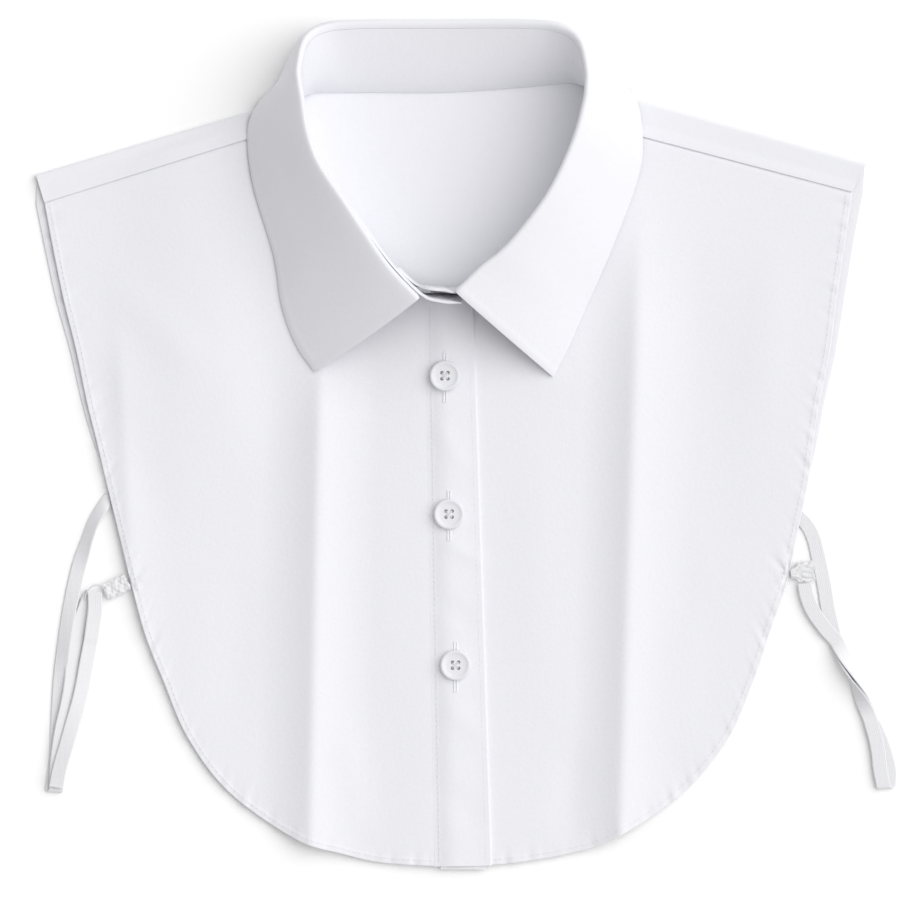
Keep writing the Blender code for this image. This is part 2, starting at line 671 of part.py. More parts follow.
def lathe(profile):
    """A turned solid on the Z axis, from its foot's middle out and up to its top's middle."""
    points, faces, rings = [], [], []
    for radius, height in profile:
        if radius == 0.0:
            rings.append([len(points)] * BUTTON_SIDES)
            points.append((0.0, 0.0, height))
            continue
        rings.append(list(range(len(points), len(points) + BUTTON_SIDES)))
        for k in range(BUTTON_SIDES):
            angle = 2 * math.pi * k / BUTTON_SIDES
            points.append((radius * math.cos(angle), radius * math.sin(angle), height))
    for low, high in zip(rings[:-1], rings[1:]):
        for k in range(BUTTON_SIDES):
            n = (k + 1) % BUTTON_SIDES
            corners = (low[k], low[n], high[n], high[k])
            faces.append(tuple(dict.fromkeys(corners)))
    return points, faces


def hole_cutter():
    """Four round rods where the thread holes go."""
    points, faces = [], []
    depth = BUTTON_PROFILE[2][1]
    for side_x in (-1, 1):
        for side_y in (-1, 1):
            first = len(points)
            for height in (-depth, 2 * depth):
                for k in range(BUTTON_HOLE_SIDES):
                    angle = 2 * math.pi * (k + 0.5) / BUTTON_HOLE_SIDES
                    x = side_x * BUTTON_HOLE_OFFSET + BUTTON_HOLE * math.cos(angle)
                    points.append((x, side_y * BUTTON_HOLE_OFFSET + BUTTON_HOLE * math.sin(angle), height))
            low = list(range(first, first + BUTTON_HOLE_SIDES))
            high = [i + BUTTON_HOLE_SIDES for i in low]
            faces += [tuple(reversed(low)), tuple(high)]
            for k in range(BUTTON_HOLE_SIDES):
                n = (k + 1) % BUTTON_HOLE_SIDES
                faces.append((low[k], low[n], high[n], high[k]))
    cutter = solid("hole_cutter", points, faces, PLASTIC)
    cutter.hide_render = True
    cutter.display_type = "WIRE"
    return cutter


def buttons():
    cutter = hole_cutter()
    first = None
    for name, (x, y) in BUTTONS.items():
        if first is None:
            blank = solid(name, *lathe((*BUTTON_FOOT, *BUTTON_PROFILE)), PLASTIC)
            cut = blank.modifiers.new("holes", "BOOLEAN")
            cut.operation = "DIFFERENCE"
            cut.solver = "EXACT"
            cut.object = cutter
            graph = bpy.context.evaluated_depsgraph_get()
            first = bpy.data.meshes.new_from_object(blank.evaluated_get(graph))
            bpy.data.objects.remove(blank, do_unlink=True)
        made = bpy.data.objects.new(name, first)
        bpy.context.scene.collection.objects.link(made)
        rim = np.array([(x, y + side * BUTTON_FOOT[1][0]) for side in (-1, 1)])
        made.location = (x * MM, y * MM, (front_height(rim).max() + PLACKET_RISE + BUTTON_SEAT) * MM)
    bpy.data.objects.remove(cutter, do_unlink=True)


def tape_line(stretches):
    """The rows along a tape, with a round turn from each stretch up or down to the next."""
    rows = []
    for stretch in stretches:
        line = curve_through(stretch, TAPE_STEPS)
        if rows:
            last, ahead = rows[-1][-1], rows[-1][-1, :2] - rows[-1][-2, :2]
            ahead /= np.linalg.norm(ahead)
            radius = abs(line[0, 2] - last[2]) / 2
            turn = []
            for angle in np.radians(np.linspace(-90.0, 90.0, TAPE_FOLD_STEPS + 1))[1:-1]:
                row = last + (line[0] - last) * (1 + math.sin(angle)) / 2
                row[:2] += ahead * radius * math.cos(angle)
                turn.append(row)
            rows.append(np.array(turn))
        rows.append(line)
    return np.vstack(rows)


def strand(side):
    """One strand of the twisted pair: side is 1 for the one that starts on top and -1 for the other."""
    made = []
    for x, y, across, tilt in RIGHT_TWIST:
        a, t = math.radians(across), math.radians(tilt)
        middle = (TAPE / 2 + STRAND_APART) * abs(math.cos(t)) + TAPE_WIDTH / 2 * abs(math.sin(t))
        away = side * STRAND_APART
        x += -away * math.cos(a) * math.sin(t)
        y += -away * math.sin(a) * math.sin(t)
        made.append((x, y, middle + away * math.cos(t), across, tilt))
    return tuple(made)


def right_stretches():
    down = RIGHT_TAPE_BACK + strand(-1) + RIGHT_TAPE_UPPER
    up = RIGHT_TAPE_LOWER + strand(1)[::-1] + RIGHT_TAPE_FRONT
    return down, up


def tape(name, stretches):
    """An elastic arm loop: a flat tape that follows its rows."""
    line = tape_line(stretches)
    across, tilt = np.radians(line[:, 3]), np.radians(line[:, 4])
    wide = np.stack([np.cos(across) * np.cos(tilt), np.sin(across) * np.cos(tilt), np.sin(tilt)], axis=1)
    lowest = TAPE / 2 * np.abs(np.cos(tilt)) + TAPE_WIDTH / 2 * np.abs(np.sin(tilt)) + TAPE_LOWEST
    line[:, 2] = np.maximum(line[:, 2], lowest)
    grid = np.stack([line[:, :3] - wide * TAPE_WIDTH / 2, line[:, :3] + wide * TAPE_WIDTH / 2], axis=1)
    cloth(name, grid, TAPE, ELASTIC)


def tab(name, start, end, widths, thickness):
    start, end = np.array(start), np.array(end)
    along = (end - start) / np.linalg.norm(end - start)
    shares = even(TAB_STEPS)
    half = np.interp(shares, even(len(widths) - 1), widths)[:, None] / 2
    aside = np.array([-along[1], along[0]]) * half
    line = between(start, end, shares)
    rows = np.stack([line - aside, line + aside], axis=1)
    level = np.full((*rows.shape[:2], 1), TAB_LEVEL)
    cloth(name, np.concatenate([rows, level], axis=-1), thickness, ELASTIC)


def main():
    clear_scene()
    back_panel()
    fronts_and_placket()
    collar_stand()
    collar_leaf()
    buttons()
    tape("strap_left", LEFT_TAPE)
    tape("strap_right", right_stretches())
    for name, row in TABS.items():
        tab(name, *row)


main()
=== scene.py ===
"""The looks of the detachable shirt collar: thin cloth on the solids' forms, its stitches, and the light.

X runs to the right of the garment as it is seen from above, Y up it towards the collar, Z up from the floor.
The tables are in millimetres, and MM turns them into metres. Left and right are those of the viewer.
"""

import math

import bpy
import numpy as np
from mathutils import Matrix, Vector


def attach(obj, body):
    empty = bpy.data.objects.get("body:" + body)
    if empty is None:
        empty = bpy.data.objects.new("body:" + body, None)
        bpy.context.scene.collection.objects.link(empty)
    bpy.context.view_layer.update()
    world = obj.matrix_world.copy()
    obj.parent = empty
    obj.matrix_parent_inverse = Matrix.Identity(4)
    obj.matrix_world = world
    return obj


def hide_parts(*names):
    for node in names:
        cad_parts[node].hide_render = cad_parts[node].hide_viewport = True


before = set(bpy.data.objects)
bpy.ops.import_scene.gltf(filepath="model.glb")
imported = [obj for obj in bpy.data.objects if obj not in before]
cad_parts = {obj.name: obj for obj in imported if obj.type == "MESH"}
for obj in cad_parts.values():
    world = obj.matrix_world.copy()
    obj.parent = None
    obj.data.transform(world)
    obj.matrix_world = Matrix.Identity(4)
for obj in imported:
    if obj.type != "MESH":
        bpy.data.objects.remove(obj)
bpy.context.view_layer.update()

MM = 0.001
TURN = 2 * math.pi
TINY = 1e-12
UPWARD = (0.0, 0.0, 1.0)
# Which way each side lies along X
SIGN = {"left": -1.0, "right": 1.0}
SHARP_ANGLE = math.radians(50)

# Levels of the middle of each layer, as in the solids
SOLID_CLOTH = 1.2
BACK_LEVEL = 0.6
FRONT_LEVEL = 2.4
PLACKET_RISE = 1.5
FOLD_BEND = (FRONT_LEVEL - BACK_LEVEL) / 2
LEAF_CLEARANCE = 0.95

# Half the thickness of the real cloth, of a hem and of the stiffened collar
PLY = 0.22
HEM_OVER = 0.48
HEM_UNDER = 0.3
HEM_WIDTH = 2.9
HEM_STEP = 0.9
STIFF = 0.45
BAND_OVER = 0.6
BAND_UNDER = 0.8
# How square the half round of a hemmed or gathered rim stays at its very edge
ROUND_LEAST = 0.12

# The shoulders. The back wraps over the fold and comes forward to the seam with the front.
# Columns: fold_neck, fold_arm, seam_neck, seam_arm
SHOULDERS = {
    "left": ((-65.8, 144.1), (-172.9, 112.5), (-64.8, 133.7), (-169.4, 101.0)),
    "right": ((61.0, 148.5), (172.9, 117.1), (60.2, 133.6), (167.2, 105.4)),
}
SEAM_LAP = 1.6
SEAM_RAISE = 0.45

# The edge of a front, from the outer end of its shoulder seam down the armhole and round to the placket.
# beyond is how far the back's edge lies outside the front's, and below zero it is hidden inside.
# Columns: x, y, beyond
EDGES = {
    "left": (
        (-169.4, 101, 3.4), (-166.2, 84, 3.2), (-161.5, 61, 2.9),
        (-156.2, 39.5, 2.3), (-151.7, 17.9, 1.9), (-147.5, 1, 1.2),
        (-143.3, -16.7, -0.8), (-138.3, -37.1, -3), (-133.4, -57, -3),
        (-127.5, -78.8, -3), (-120, -97.9, -3), (-109.6, -122.1, -3),
        (-92.1, -145, -3), (-64.6, -164.2, -3), (-45, -170.4, -3),
        (-28.8, -174, -3), (-4.6, -175.6, -3),
    ),
    "right": (
        (167.2, 105.4, 4.3), (164.2, 84.2, 3.3), (160.9, 62, 3),
        (157.8, 38, 2.2), (153.6, 18, 1.9), (151, 1, 1.4),
        (148.6, -16.7, -0.6), (144.6, -35.5, -3), (140, -57, -3),
        (132.6, -78.8, -3), (126.1, -98, -3), (115.3, -122.5, -3),
        (96.4, -145, -3), (67.9, -164.2, -3), (48.3, -170.4, -3),
        (28.8, -173.8, -3), (14.2, -175.2, -3),
    ),
}
ARMHOLE_ROWS = 9
CORNER_CLEARANCE = 1.0
BACK_THINNEST = 0.8
# Shares of a shoulder strip: where it starts to rise, over how much, and where its creases are whole
STRIP_RISE_FROM = 0.55
STRIP_RISE_OVER = 0.4
STRIP_CREASED = 0.6

# The folds of the front. Each rises gently from the left and falls quickly on its right.
# Columns: top, bottom, height, rise, fall, fade
FOLDS = (
    ((-53.6, 66), (-58.8, -176), 4.6, 22, 23, 60), ((79.6, 112), (70, -176), 4.3, 20, 25, 70),
    ((-139, 62), (-131, -90), 1.2, 9, 17, 50),
)
FOLD_ROUND = 1.4
NECK_LIFT = 2.5
NECK_LIFT_REACH = 32.0
NECK_LIFT_TOP = (84.0, 120.0)

# Soft creases of the fronts, laid along given lines. A height below zero makes a trough.
# Columns: start, end, height, width
CREASES = (
    ((-114, 200), (-104, -40), 2.6, 27), ((-150, 78), (-96, 24), 0.5, 9),
    ((-150, 40), (-118, -40), -0.5, 10), ((-96, 96), (-88, -20), 0.45, 12),
    ((-86, -40), (-92, -128), -0.5, 11), ((-30, 20), (-26, -120), 0.45, 12),
    ((34, 24), (38, -130), 0.5, 12), ((104, 92), (112, -60), -0.5, 13),
    ((136, 96), (128, 0), 0.5, 10), ((98, -60), (92, -140), 0.5, 9),
    ((-46, -110), (-36, -168), 0.5, 7), ((52, -120), (46, -168), -0.5, 7),
    ((-9, 14), (8, -14), 0.32, 4.5), ((-6, -38), (18, -52), 0.4, 3.6),
    ((-8, -62), (12, -78), -0.3, 4.5), ((-4, -104), (16, -126), 0.35, 5),
    ((-6, -140), (14, -160), -0.35, 6),
)
# The share of its length over which a crease rises at each end
CREASE_END = 0.35

# Puckers that the sewing leaves along a hem. Columns: wavelength, height, phase
PUCKERS = (
    (3.1, 0.1, 0.3), (5.3, 0.19, 1.9), (9.1, 0.24, 4.1),
    (23, 0.2, 2.2),
)
PUCKER_REACH = 4.6
# Two long waves make the puckers stronger and weaker along a hem
PUCKER_UNEVEN = (83.0, 37.0)
PUCKER_MEAN = 0.55
PUCKER_SWING = 0.22
# Where a tab pulls on the front: the dimple's middle, its depth, its reach, and the height of the folds there
DIMPLES = {
    "left": ((-133.6, -56.4), 0.45, 3.4, 0.28),
    "right": ((140.6, -53.4), 0.7, 4.2, 0.42),
}
DIMPLE_FOLDS = 7

# The placket, from its top at the stand to its bottom at the hem
PLACKET_LEFT = ((-10.8, 60.2), (-6.8, -175.6))
PLACKET_RIGHT = ((9.2, 60.2), (16.9, -175.2))
HEM_Y = PLACKET_LEFT[1][1]
PLACKET_TUCK = 2.2
PLACKET_SINK = 0.7
PLACKET_SINK_WIDTH = 9.0
PLACKET_APPROACH = 26.0
PLACKET_RIDGE = 0.2
PLACKET_RIDGE_INSET = 0.9
PLACKET_RIDGE_WIDTH = 0.55
PLACKET_THIN = 0.3
PLACKET_THIN_WIDTH = 6.0
PLACKET_FALL = 0.7
PLACKET_FALL_FROM = 7.0
PLACKET_FALL_WIDTH = 14.0
BAND_EDGE = 0.55
BAND_ROUND = 0.6
GAP = 0.3
UNDER_TOP = 65.6
UNDER_PEEK = 1.2

# Machine stitches. The rings of a stitch lie at these shares of half its length.
STITCH_LENGTH = 1.7
STITCH_PITCH = 2.3
STITCH_RADIUS = 0.09
STITCH_RINGS = (-1.0, -0.62, 0.0, 0.62, 1.0)
STITCH_SIDES = 6
STITCH_LEAST = 0.09
STITCH_ARCH = 0.9
STITCH_SINK = 0.35
# Where a row of stitches starts and ends, from the ends of its hem, and the steps between its points
HEM_STITCHES = (3.0, 2.5, 1.2)
PLACKET_STITCHES = (3.0, 1.5, 1.5)
HEM_STITCH_INSET = 0.75
PLACKET_STITCH_INSET = 2.1

# The collar's sections, from the leaf's left end round the back to its right end: where the stand stands
# (seam), its top edge (top), where the leaf turns on its way down (knee) and the leaf's free edge (edge).
# Columns: seam x, y, top x, y, z, knee x, y, z, edge x, y
COLLAR_POINTS = {"seam": slice(0, 2), "top": slice(2, 5), "knee": slice(5, 8), "edge": slice(8, 10)}
COLLAR = (
    (-14, 60.2, -11.9, 63.2, 31, -33.2, 45.6, 21.5, -56.7, 30.4),
    (-27.5, 73.2, -24.7, 75.4, 32, -43.5, 60.5, 21.5, -64.4, 41.6),
    (-38.6, 86.4, -35.1, 89.6, 32.5, -51.5, 76, 21.5, -70.4, 58),
    (-48, 98.6, -43.8, 101.7, 33, -58, 91.5, 22, -73.6, 78.5),
    (-60.2, 115.2, -54.8, 117.6, 33.5, -67.5, 112.5, 22, -81.8, 106),
    (-64.8, 127, -59.4, 130.9, 33.4, -71.5, 129, 22, -84.6, 125),
    (-66.3, 137.5, -61.4, 143.9, 33, -72.5, 141.2, 22, -83.2, 136.8),
    (-65.8, 142, -62.4, 150, 31.8, -72.5, 149.4, 17, -75.8, 146.3),
    (-63.5, 144.5, -62.6, 156, 29.5, -72.4, 152.4, 3, -62, 151.5),
    (-57.5, 146.8, -59.6, 166.8, 23, -65, 166.5, 0.6, -52.5, 153),
    (-48, 147.2, -52.3, 171.6, 17.5, -53.8, 175.4, 0.6, -46.5, 151.2),
    (-36, 147.3, -38, 173.2, 15.5, -38.2, 176.6, 0.6, -36.5, 149.9),
    (-3, 147.3, -3, 173.4, 15.2, -3, 176.8, 0.6, -3, 149.8),
    (28, 149.3, 32, 173.3, 18.5, 32.2, 176.6, 0.6, 30, 152.6),
    (41.5, 150.6, 45.3, 171.4, 22, 47.8, 175.2, 0.6, 41.5, 154.5),
    (50.5, 151.2, 52.6, 166.2, 26.8, 59.5, 166.5, 1, 51.5, 155.5),
    (57.5, 149, 55.6, 156, 30.5, 71, 152.6, 8, 69, 153.6),
    (60.3, 146.5, 55.9, 149, 32.3, 70.5, 148.2, 18, 74.3, 147),
    (61.5, 140, 54.9, 141.5, 33, 67.5, 141, 22, 78.6, 138.6),
    (56.2, 121.5, 50.3, 125.6, 33.5, 64.5, 121.5, 22, 79, 116),
    (44.2, 100.2, 39.8, 103.8, 33, 53.5, 94.5, 22, 67.6, 83.5),
    (26.9, 80.3, 23.8, 83.3, 32, 39.5, 71.5, 22, 56.4, 58),
    (14.6, 71.2, 12.2, 73.6, 31.5, 30, 58.5, 21.5, 48.9, 41),
    (3, 62.1, 1.8, 63.6, 31, 21, 46.6, 21, 42.5, 28.3),
)
FRONT_SECTIONS = {"left": slice(0, 6), "right": slice(19, 24)}
BACK_SECTIONS = slice(8, 17)
ON_PLACKET = 0
ON_BACK = slice(9, 16)
# The stand runs on past the leaf at both ends, and its left end lies outside the right one.
# Columns: seam_x, seam_y, top_x, top_y, top_z
OUTER_END = ((4.8, 57.9, 4.4, 58.9, 30.0), (-4.8, 58.4, -4.6, 59.7, 30.6))
UNDER_END = (
    (-2.6, 62.6, -2.8, 64.3, 30.8), (-9.6, 63.2, -9.4, 65, 30.6), (-15.6, 65, -15, 67.3, 26.5),
    (-22.6, 71.8, -21.8, 73.5, 25),
)
# How far the leaf's left end lies outside the stand's top, from the first row
LEAF_ASIDE = (1.4, 1.4, 1.0, 0.4)
# How much further the leaf's left corner lies, right and up
LEAF_CORNER = (-0.3, -1.2)
# How far the stand's top lies from its place at the leaf's left corner, right and up
LIP_CORNER = (-0.3, -0.6)
# The right end of the stand's top, from the leaf's corner to where it turns into the under end
UNDER_CORNER = (1.6, 0.6)
ROLL_OUT = 2.4
ROLL_UP = 2.2
SEAM_INSET = 1.1
STAND_LOW = (0.1, 0.1, 0.22)
STAND_HIGH = (0.6, 0.6, 0.7)
LEAF_TURN = 0.4
LEAF_DROP = 2.5
FLOOR_CLEARANCE = 0.25
FOOT_RISE = 0.7
BACK_FOOT_RISE = 0.4
LEAF_RIDGE = 0.26
LEAF_RIDGE_INSET = 1.5
LEAF_RIDGE_WIDTH = 0.9
LEAF_EDGE = 0.5
LEAF_ROUND = 0.7
STAND_HALF = 0.58
# How far the feet of the stand's two ends lie in under their tops, from the first row and up to the last row
LIP_LEAN = (4.4, 4.4, 3.6, 1.5)
UNDER_LEAN = (1.5, 2.6, 2.6, 2.0, 0.8)
STAND_TIP = 0.3
STAND_TAPER = 5.0
LEAF_START = 0.15

# Buttons and their vertical buttonholes
BUTTONS = {"button_top": (-2.5, 28.8), "button_middle": (-0.8, -28.8), "button_bottom": (1.9, -91.7)}
# Columns: radius, height
BUTTON_PROFILE = (
    (0, 0), (4.8, 0), (5.7, 0.3),
    (6.2, 0.75), (6.35, 1.2), (6.3, 1.6),
    (6.1, 1.85), (5.75, 1.97), (5.3, 1.93),
    (4.85, 1.76), (4.4, 1.6), (3.8, 1.52),
    (2.6, 1.48), (0, 1.46),
)
BUTTON_SIDES = 64
BUTTON_HOLE = 0.75
BUTTON_HOLE_OFFSET = 1.25
BUTTON_HOLE_SIDES = 20
BUTTON_HOLE_ENDS = (4.0, -1.0)
BUTTON_SEAT = BAND_OVER + 0.05
BUTTON_FOOT = 5.2
BUTTONHOLE_ABOVE = 9.6
BUTTONHOLE_BELOW = 11.0
BUTTONHOLE_HALF = 0.55
BUTTONHOLE_STEPS = 60
BUTTONHOLE_WOBBLE = 0.06
BUTTONHOLE_PITCH = 0.9
BUTTONHOLE_THREAD = 0.34
BAR_HALF = 0.85
BAR_STEPS = 7
BAR_THREAD = 0.36
# The threads over a button: one pair lies higher by twice the crossing, and all bend down into the holes
THREAD_SIDES = 10
THREAD_RADIUS = 0.17
THREAD_STEPS = 13
THREAD_RISE = 0.2
THREAD_CROSSING = 0.1
THREAD_FLATNESS = 6
THREAD_BEND = 0.82
THREAD_DROP = 0.9

# The elastic arm loops: the middle of the tape, and how its width lies, in degrees from X and up from flat.
# Each stretch ends in a fold where the tape turns back over itself, and the next one starts there.
# Columns: x, y, z, across, tilt
TAPE_WIDTH = 6.0
TAPE = 1.0
TAPE_LOWEST = 0.04
LEFT_TAPE = (
    (
        (-142.2, -22, 0.5, -76, 0), (-145.2, -26, 0.5, -58, 26), (-149, -32.5, 0.5, -33, 38),
        (-152.1, -41.3, 0.5, -20, 32), (-155.4, -52.1, 0.5, -15, 4), (-158.8, -67.9, 0.5, -11, 14),
        (-161.5, -85.4, 0.5, -8, 24), (-162.9, -100, 0.5, -5, 3), (-163.8, -116.3, 0.5, -3, 0),
        (-164.4, -130, 0.5, -4, 0), (-166.2, -143.6, 0.5, -6, 0),
    ),
    (
        (-164.4, -143.6, 2.1, -8, 0), (-164.2, -135.4, 2.1, -8, 0), (-163.4, -127, 2.1, -11, -3),
        (-161.9, -117.5, 2, -13, -8), (-159.8, -108.5, 1.75, -12, -14),
        (-158.4, -100, 1.5, -8, -17), (-157.6, -91.7, 1.45, -7, -17), (-156.4, -83, 1.45, -10, -17),
        (-154.8, -75, 1.45, -14, -15), (-152.4, -68, 1.2, -16, -8), (-150, -61.8, 0.7, -10, 0),
    ),
    (
        (-148.4, -61.8, 2.3, -6, 0), (-148.3, -68, 2.3, -6, -8), (-149.2, -75, 1.9, -9, -15),
        (-150.4, -83, 1.5, -10, -17), (-151.9, -91, 1.5, -10, -17), (-153.4, -99.5, 1.55, -11, -17),
        (-155.2, -107.5, 2.1, -13, -15), (-157.6, -116, 2.7, -16, -4), (-160.4, -126, 3.4, -16, 6),
        (-163, -135, 3.7, -13, 9), (-164.4, -142.6, 3.7, -9, 4),
    ),
)
# The two strands of the right loop turn half over together: the middle of the pair and its tilt
# Columns: x, y, across, tilt
RIGHT_TWIST = (
    (160.2, -81.2, 33, 0), (161.6, -84, 30, -14), (163.1, -87.5, 27, -32),
    (164.5, -90.8, 25, -50), (166, -94.4, 24, -72), (167.2, -97.3, 24, -90),
    (168.9, -101, 24, -114), (170.9, -105.2, 23, -140), (172.8, -109.4, 21, -162),
    (174.3, -113.3, 19, -180),
)
STRAND_APART = 0.7
RIGHT_TAPE_BACK = (
    (145.6, -30.5, 0.5, 76, 0), (148.9, -34.4, 0.5, 52, 0), (151.3, -39.6, 0.5, 30, 0),
    (152.6, -44.8, 0.5, 18, 0), (153.9, -50.8, 0.5, 14, 0), (155.5, -58.5, 0.5, 13, 0),
    (157, -67.9, 0.5, 14, 0), (158.7, -75.2, 0.5, 22, 0),
)
RIGHT_TAPE_UPPER = (
    (175.4, -116.8, 2.1, 16, -180), (177, -122.4, 2.1, 12, -180), (178.1, -128.4, 2.1, 8, -180),
    (178.8, -135, 2.1, 5, -180), (180.2, -142.2, 2.1, 4, -180),
)
RIGHT_TAPE_LOWER = (
    (182.4, -142, 0.5, 4, -180), (182.6, -136, 0.5, 8, -180), (181, -129, 0.5, 15, -180),
    (178.8, -122.5, 0.5, 20, -180), (176.2, -116.8, 0.5, 20, -180),
)
RIGHT_TAPE_FRONT = (
    (156.8, -77.5, 2.1, 35, 0), (153.8, -73.6, 2.1, 36, 0), (151.4, -70.2, 2.1, 29, 0),
    (149.4, -66.2, 2.1, 20, 0), (148.1, -62.2, 2.1, 12, 0), (147.3, -57.7, 2.1, 5, 0),
)
TAPE_STEPS = 8
TAPE_FOLD_STEPS = 8
TAPE_RIBS = 8
TAPE_RIB_STEPS = 6
TAPE_RIB_HEIGHT = 0.05
TAPE_CORE = 0.34
TAPE_EDGE = 0.3
TAPE_EDGE_LEAST = 0.35
# The end of the left tape is sewn back on the start of its last stretch, which is thicker there
TAIL_LENGTH = 20.0
TAIL_THICKNESS = 0.4
TAIL_STEP = 0.6
# The gathered tabs at the front's edge, with their width at even steps along them
# Columns: start, end, widths, thickness, height of its pleats, how strong its small folds are
TABS = {
    "strap_tab_left": ((-134.6, -56.9), (-144.0, -61.5), (6.2, 6.8, 6.6), 1.6, 0.13, 1.0),
    "strap_tab_right": ((141.6, -53.6), (151.2, -52.3), (3.0, 7.4, 8.2, 7.8), 1.6, 0.3, 0.4),
}
TAB_LEVEL = 2.2
TAB_ROWS = 90
TAB_COLUMNS = 60
TAB_CROWN = 0.3
TAB_WAVE = 0.06
TAB_WAVE_LENGTH = 2.9
TAB_WAVE_PHASE = 0.7
TAB_PLEATS = 3.5
TAB_PLEAT_SWAY = 1.1
TAB_CORE = 0.7
# The small folds of a tab. Columns: waves in 1 mm along, waves in 1 mm across, height, phase
CRINKLES = (
    (0.23, 0.07, 0.16, 0.4), (0.31, -0.21, 0.12, 1.7), (0.47, 0.34, 0.08, 3.1),
    (-0.13, 0.43, 0.09, 5.2), (0.71, -0.24, 0.05, 2.3),
)
# The thread ring of the left tab, which the tape is folded through
TAB_RINGS = {
    "strap_tab_left": (
        (-143.2, -59.4, 2.6), (-145, -58.5, 3.1), (-147.2, -58.2, 3.2),
        (-149.2, -58.8, 3), (-150.9, -60.3, 2.5), (-152.1, -62.4, 1.9),
        (-152.6, -64.4, 1.75),
    ),
}
RING_RADIUS = 0.34

# How finely the cloth is divided. The outermost columns of a panel lie at fixed distances from its edge.
RIM_STEPS = (0.0, 0.12, 0.3, 0.6, 1.0, 1.5, 2.0, 2.4, 2.7, 2.95, 3.2, 3.6, 4.2, 5.2, 6.6, 8.4)
FRONT_COLUMNS = 62
FRONT_ROWS = 270
BACK_ROWS = 190
WRAP_STEPS = 14
STRIP_STEPS = 16
SHOULDER_STEPS = 70
CURVE_STEPS = 12
SECTIONS_BETWEEN = 9
STAND_SAMPLES = 26
LEAF_SAMPLES = 84
ROLL_SAMPLES = 26
BAND_ROWS = 300
BAND_RIM = 9
BAND_COLUMNS = 16

# The woven looks. Columns: colour, pitch of the weave, depth of its bump, size of its slubs, sheen
WEAVES = {
    "cotton_cloth": ((0.825, 0.825, 0.862), 0.42, 0.04, 1.6, 0.15),
    "thread": ((0.84, 0.84, 0.87), 0.3, 0.05, 1.0, 0.1),
    "elastic_tape": ((0.80, 0.80, 0.82), 0.5, 0.1, 0.8, 0.1),
}
WEAVE_ROUGHNESS = 0.82
WEAVE_STRENGTH = 0.25
WEAVE_SPECULAR = 0.3
SLUB_DETAIL = 4.0
SLUB_STRENGTH = 0.35
SLUB_DEPTH = 0.25
SLUB_SHADE = 0.015
SHEEN_ROUGHNESS = 0.5
PLASTIC_COLOUR = (0.775, 0.775, 0.805)
PLASTIC_ROUGHNESS = 0.42
GRAIN_SCALE = 900.0
GRAIN_DETAIL = 3.0
GRAIN_STRENGTH = 0.08
GRAIN_DEPTH = 0.05
COAT_WEIGHT = 0.12
COAT_ROUGHNESS = 0.2

# The photograph's frame: millimetres that it spans, its middle, and how far the camera stands
VIEW_SPAN = 375.0
VIEW_MIDDLE = (-0.4, -2.1)
CAMERA_HEIGHT = 8000.0
SENSOR = 36.0
CAMERA_CLIP = (0.1, 100.0)
FLOOR_REACH = 6
FLOOR_COLOUR = (0.99, 0.99, 0.99)
FLOOR_ROUGHNESS = 0.9
# The light: how bright the sky and the key light are, and where the key light comes from
SKY = 0.525
KEY_LIGHT = 2.1
KEY_WIDTH = math.radians(68)
KEY_FROM = (0.58, 0.22, 0.74)


def feed(node, values):
    """A shader node with each of these inputs set to its constant, or linked to the output given for it."""
    for name, value in values.items():
        if isinstance(value, bpy.types.NodeSocket):
            node.id_data.links.new(value, node.inputs[name])
        else:
            node.inputs[name].default_value = value
    return node


def added(look, kind, values, operation=None):
    """A new shader node of this kind in a look."""
    node = look.node_tree.nodes.new(f"ShaderNode{kind}")
    if operation:
        node.operation = operation
    return feed(node, values)


def shader_of(name, colour, roughness):
    look = bpy.data.materials.new(name)
    look.use_nodes = True
    shader = look.node_tree.nodes["Principled BSDF"]
    return look, feed(shader, {"Base Color": (*colour, 1.0), "Roughness": roughness})


def weave_look(name, colour, pitch, depth, slub, sheen):
    """Woven cloth: threads both ways in its bump, with slubs, and slightly uneven in colour."""
    look, shader = shader_of(name, colour, WEAVE_ROUGHNESS)
    place = added(look, "TexCoord", {}).outputs["Object"]
    split = added(look, "SeparateXYZ", {0: place})
    waves = {}
    for k, axis in enumerate("XY"):
        turns = added(look, "Math", {0: split.outputs[axis], 1: TURN / (pitch * MM)}, "MULTIPLY")
        waves[k] = added(look, "Math", {0: turns.outputs[0]}, "SINE").outputs[0]
    woven = added(look, "Math", waves, "ADD").outputs[0]
    noise = added(look, "TexNoise", {"Vector": place, "Scale": 1.0 / (slub * MM), "Detail": SLUB_DETAIL})
    uneven = noise.outputs["Fac"]
    fine = added(look, "Bump", {"Height": woven, "Strength": WEAVE_STRENGTH, "Distance": depth * MM})
    soft = added(look, "Bump", {"Height": uneven, "Strength": SLUB_STRENGTH, "Distance": SLUB_DEPTH * MM})
    feed(soft, {"Normal": fine.outputs["Normal"]})
    shade = added(look, "MapRange", {"Value": uneven, "To Min": 1 - SLUB_SHADE, "To Max": 1 + SLUB_SHADE})
    tint = added(look, "VectorMath", {0: colour, "Scale": shade.outputs["Result"]}, "SCALE")
    feed(shader, {"Base Color": tint.outputs["Vector"], "Normal": soft.outputs["Normal"]})
    feed(shader, {"Sheen Weight": sheen, "Sheen Roughness": SHEEN_ROUGHNESS})
    feed(shader, {"Specular IOR Level": WEAVE_SPECULAR})
    return look


